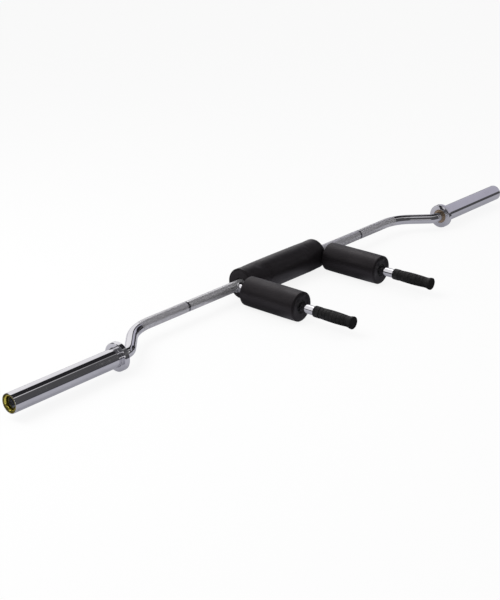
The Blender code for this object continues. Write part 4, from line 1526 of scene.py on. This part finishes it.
# %% Sew the flap
FLAP_WIDTH = 30.0 * MM
FLAP_THICKNESS = 1.2 * MM
FLAP_STAND = 0.15 * MM         # how far its underside stands off the cover
FLAP_MARGIN = 20.0 * MM
FLAP_CORNER = 7.0 * MM
FLAP_TURN = math.radians(50)   # from straight down towards the back
ACROSS_STEPS = 16
ALONG_STEPS = 64
CORNER_STEPS = 9
STITCH_INSET = 3.0 * MM
STITCH_LENGTH = 3.2 * MM
STITCH_PITCH = 4.2 * MM
STITCH_RADIUS = 0.35 * MM
STITCH_SIDES = 8
STITCH_STEPS = 6
flap_half = neck_half - FLAP_MARGIN


def flap_point(x, across, lift):
    """A point on the neck roll's back: x along it, across the flap, and lifted off the cover."""
    turn = FLAP_TURN + across / NECK_SHAPE.radius
    out = Vector((0.0, math.sin(turn), -math.cos(turn)))
    base = Vector((x, shaft_y, shaft_z)) + out * NECK_SHAPE.barrel(x)
    point = press(NECK_SHAPE, base, out, neck_movement, neck_mean)
    return point + out * lift


def flap_half_width(x):
    """Half the flap's width, which narrows round its corners."""
    into = FLAP_CORNER - (flap_half - abs(x))
    if into <= 0.0:
        return FLAP_WIDTH / 2
    return FLAP_WIDTH / 2 - FLAP_CORNER + math.sqrt(max(FLAP_CORNER ** 2 - into ** 2, 0.0))


def flap_section(x):
    """One section of the flap, as a flat band with rounded edges."""
    half = flap_half_width(x)
    top = []
    underside = []
    for step in range(ACROSS_STEPS + 1):
        across = -half + 2 * half * step / ACROSS_STEPS
        top.append(flap_point(x, across, FLAP_THICKNESS * (1.0 - 0.35 * abs(across / half) ** 10)))
        underside.append(flap_point(x, half - 2 * half * step / ACROSS_STEPS, FLAP_STAND))
    return top + underside


def make_flap():
    left_end = [-flap_half + FLAP_CORNER * (1 - math.cos(turn)) for turn in quarter(CORNER_STEPS)]
    between = []
    for step in range(1, ALONG_STEPS):
        between.append(-flap_half + FLAP_CORNER + 2 * (flap_half - FLAP_CORNER) * step / ALONG_STEPS)
    stations = left_end + between + [-x for x in reversed(left_end)]
    flap = loft("neck_roll_closing_flap", [flap_section(x) for x in stations], VINYL)
    dress(flap, "yoke", "black_vinyl", "neck_roll_flap")


def stitch_route():
    """(x, across) points round the flap's edge, one for each stitch."""
    half_length = flap_half - STITCH_INSET
    half_width = FLAP_WIDTH / 2 - STITCH_INSET
    corner = FLAP_CORNER - STITCH_INSET
    long_side = 2 * (half_length - corner)
    short_side = 2 * (half_width - corner)
    arc = math.pi / 2 * corner
    lengths = (long_side, arc, short_side, arc) * 2
    total = sum(lengths)
    count = round(total / STITCH_PITCH)
    route = []
    for index in range(count):
        left = total * index / count
        for leg, length in enumerate(lengths):
            if left < length:
                break
            left -= length
        turn = Matrix.Rotation(math.pi * (leg // 4), 2)
        kind = leg % 4
        if kind == 0:
            point, heading = Vector((left - long_side / 2, -half_width)), Vector((1.0, 0.0))
        elif kind == 2:
            point, heading = Vector((half_length, left - short_side / 2)), Vector((0.0, 1.0))
        else:
            bow = left / corner + (0.0 if kind == 1 else math.pi / 2)
            height = (corner - half_width) if kind == 1 else (half_width - corner)
            centre = Vector((half_length - corner, height))
            point = centre + corner * Vector((math.sin(bow), -math.cos(bow)))
            heading = Vector((math.cos(bow), math.sin(bow)))
        route.append((turn @ point, turn @ heading))
    return route


def stitch_rings(point, heading):
    """One stitch: a capsule of thread between two points of the flap, half sunk in it."""
    ends = [point - heading * STITCH_LENGTH / 2, point + heading * STITCH_LENGTH / 2]
    first, last = (flap_point(end.x, end.y, FLAP_THICKNESS) for end in ends)
    along = (last - first).normalized()
    out = (flap_point(point.x, point.y, 1.0) - flap_point(point.x, point.y, 0.0)).normalized()
    side = along.cross(out)
    rings = []
    for step in range(STITCH_STEPS + 1):
        share = step / STITCH_STEPS
        swell = math.sin(math.pi * (0.08 + 0.84 * share)) ** 0.5
        centre = first.lerp(last, share) + out * STITCH_RADIUS * (1.1 * swell - 0.7)
        offsets = [side * math.cos(turn) + out * math.sin(turn) for turn in turns(STITCH_SIDES)]
        rings.append([centre + offset * STITCH_RADIUS * swell for offset in offsets])
    return rings


def make_stitches():
    work = bmesh.new()
    for point, heading in stitch_route():
        add_skin(work, stitch_rings(point, heading))
    dress(finished("neck_roll_flap_stitches", work, THREAD, crisp=False), "yoke", "black_vinyl")


make_flap()
make_stitches()
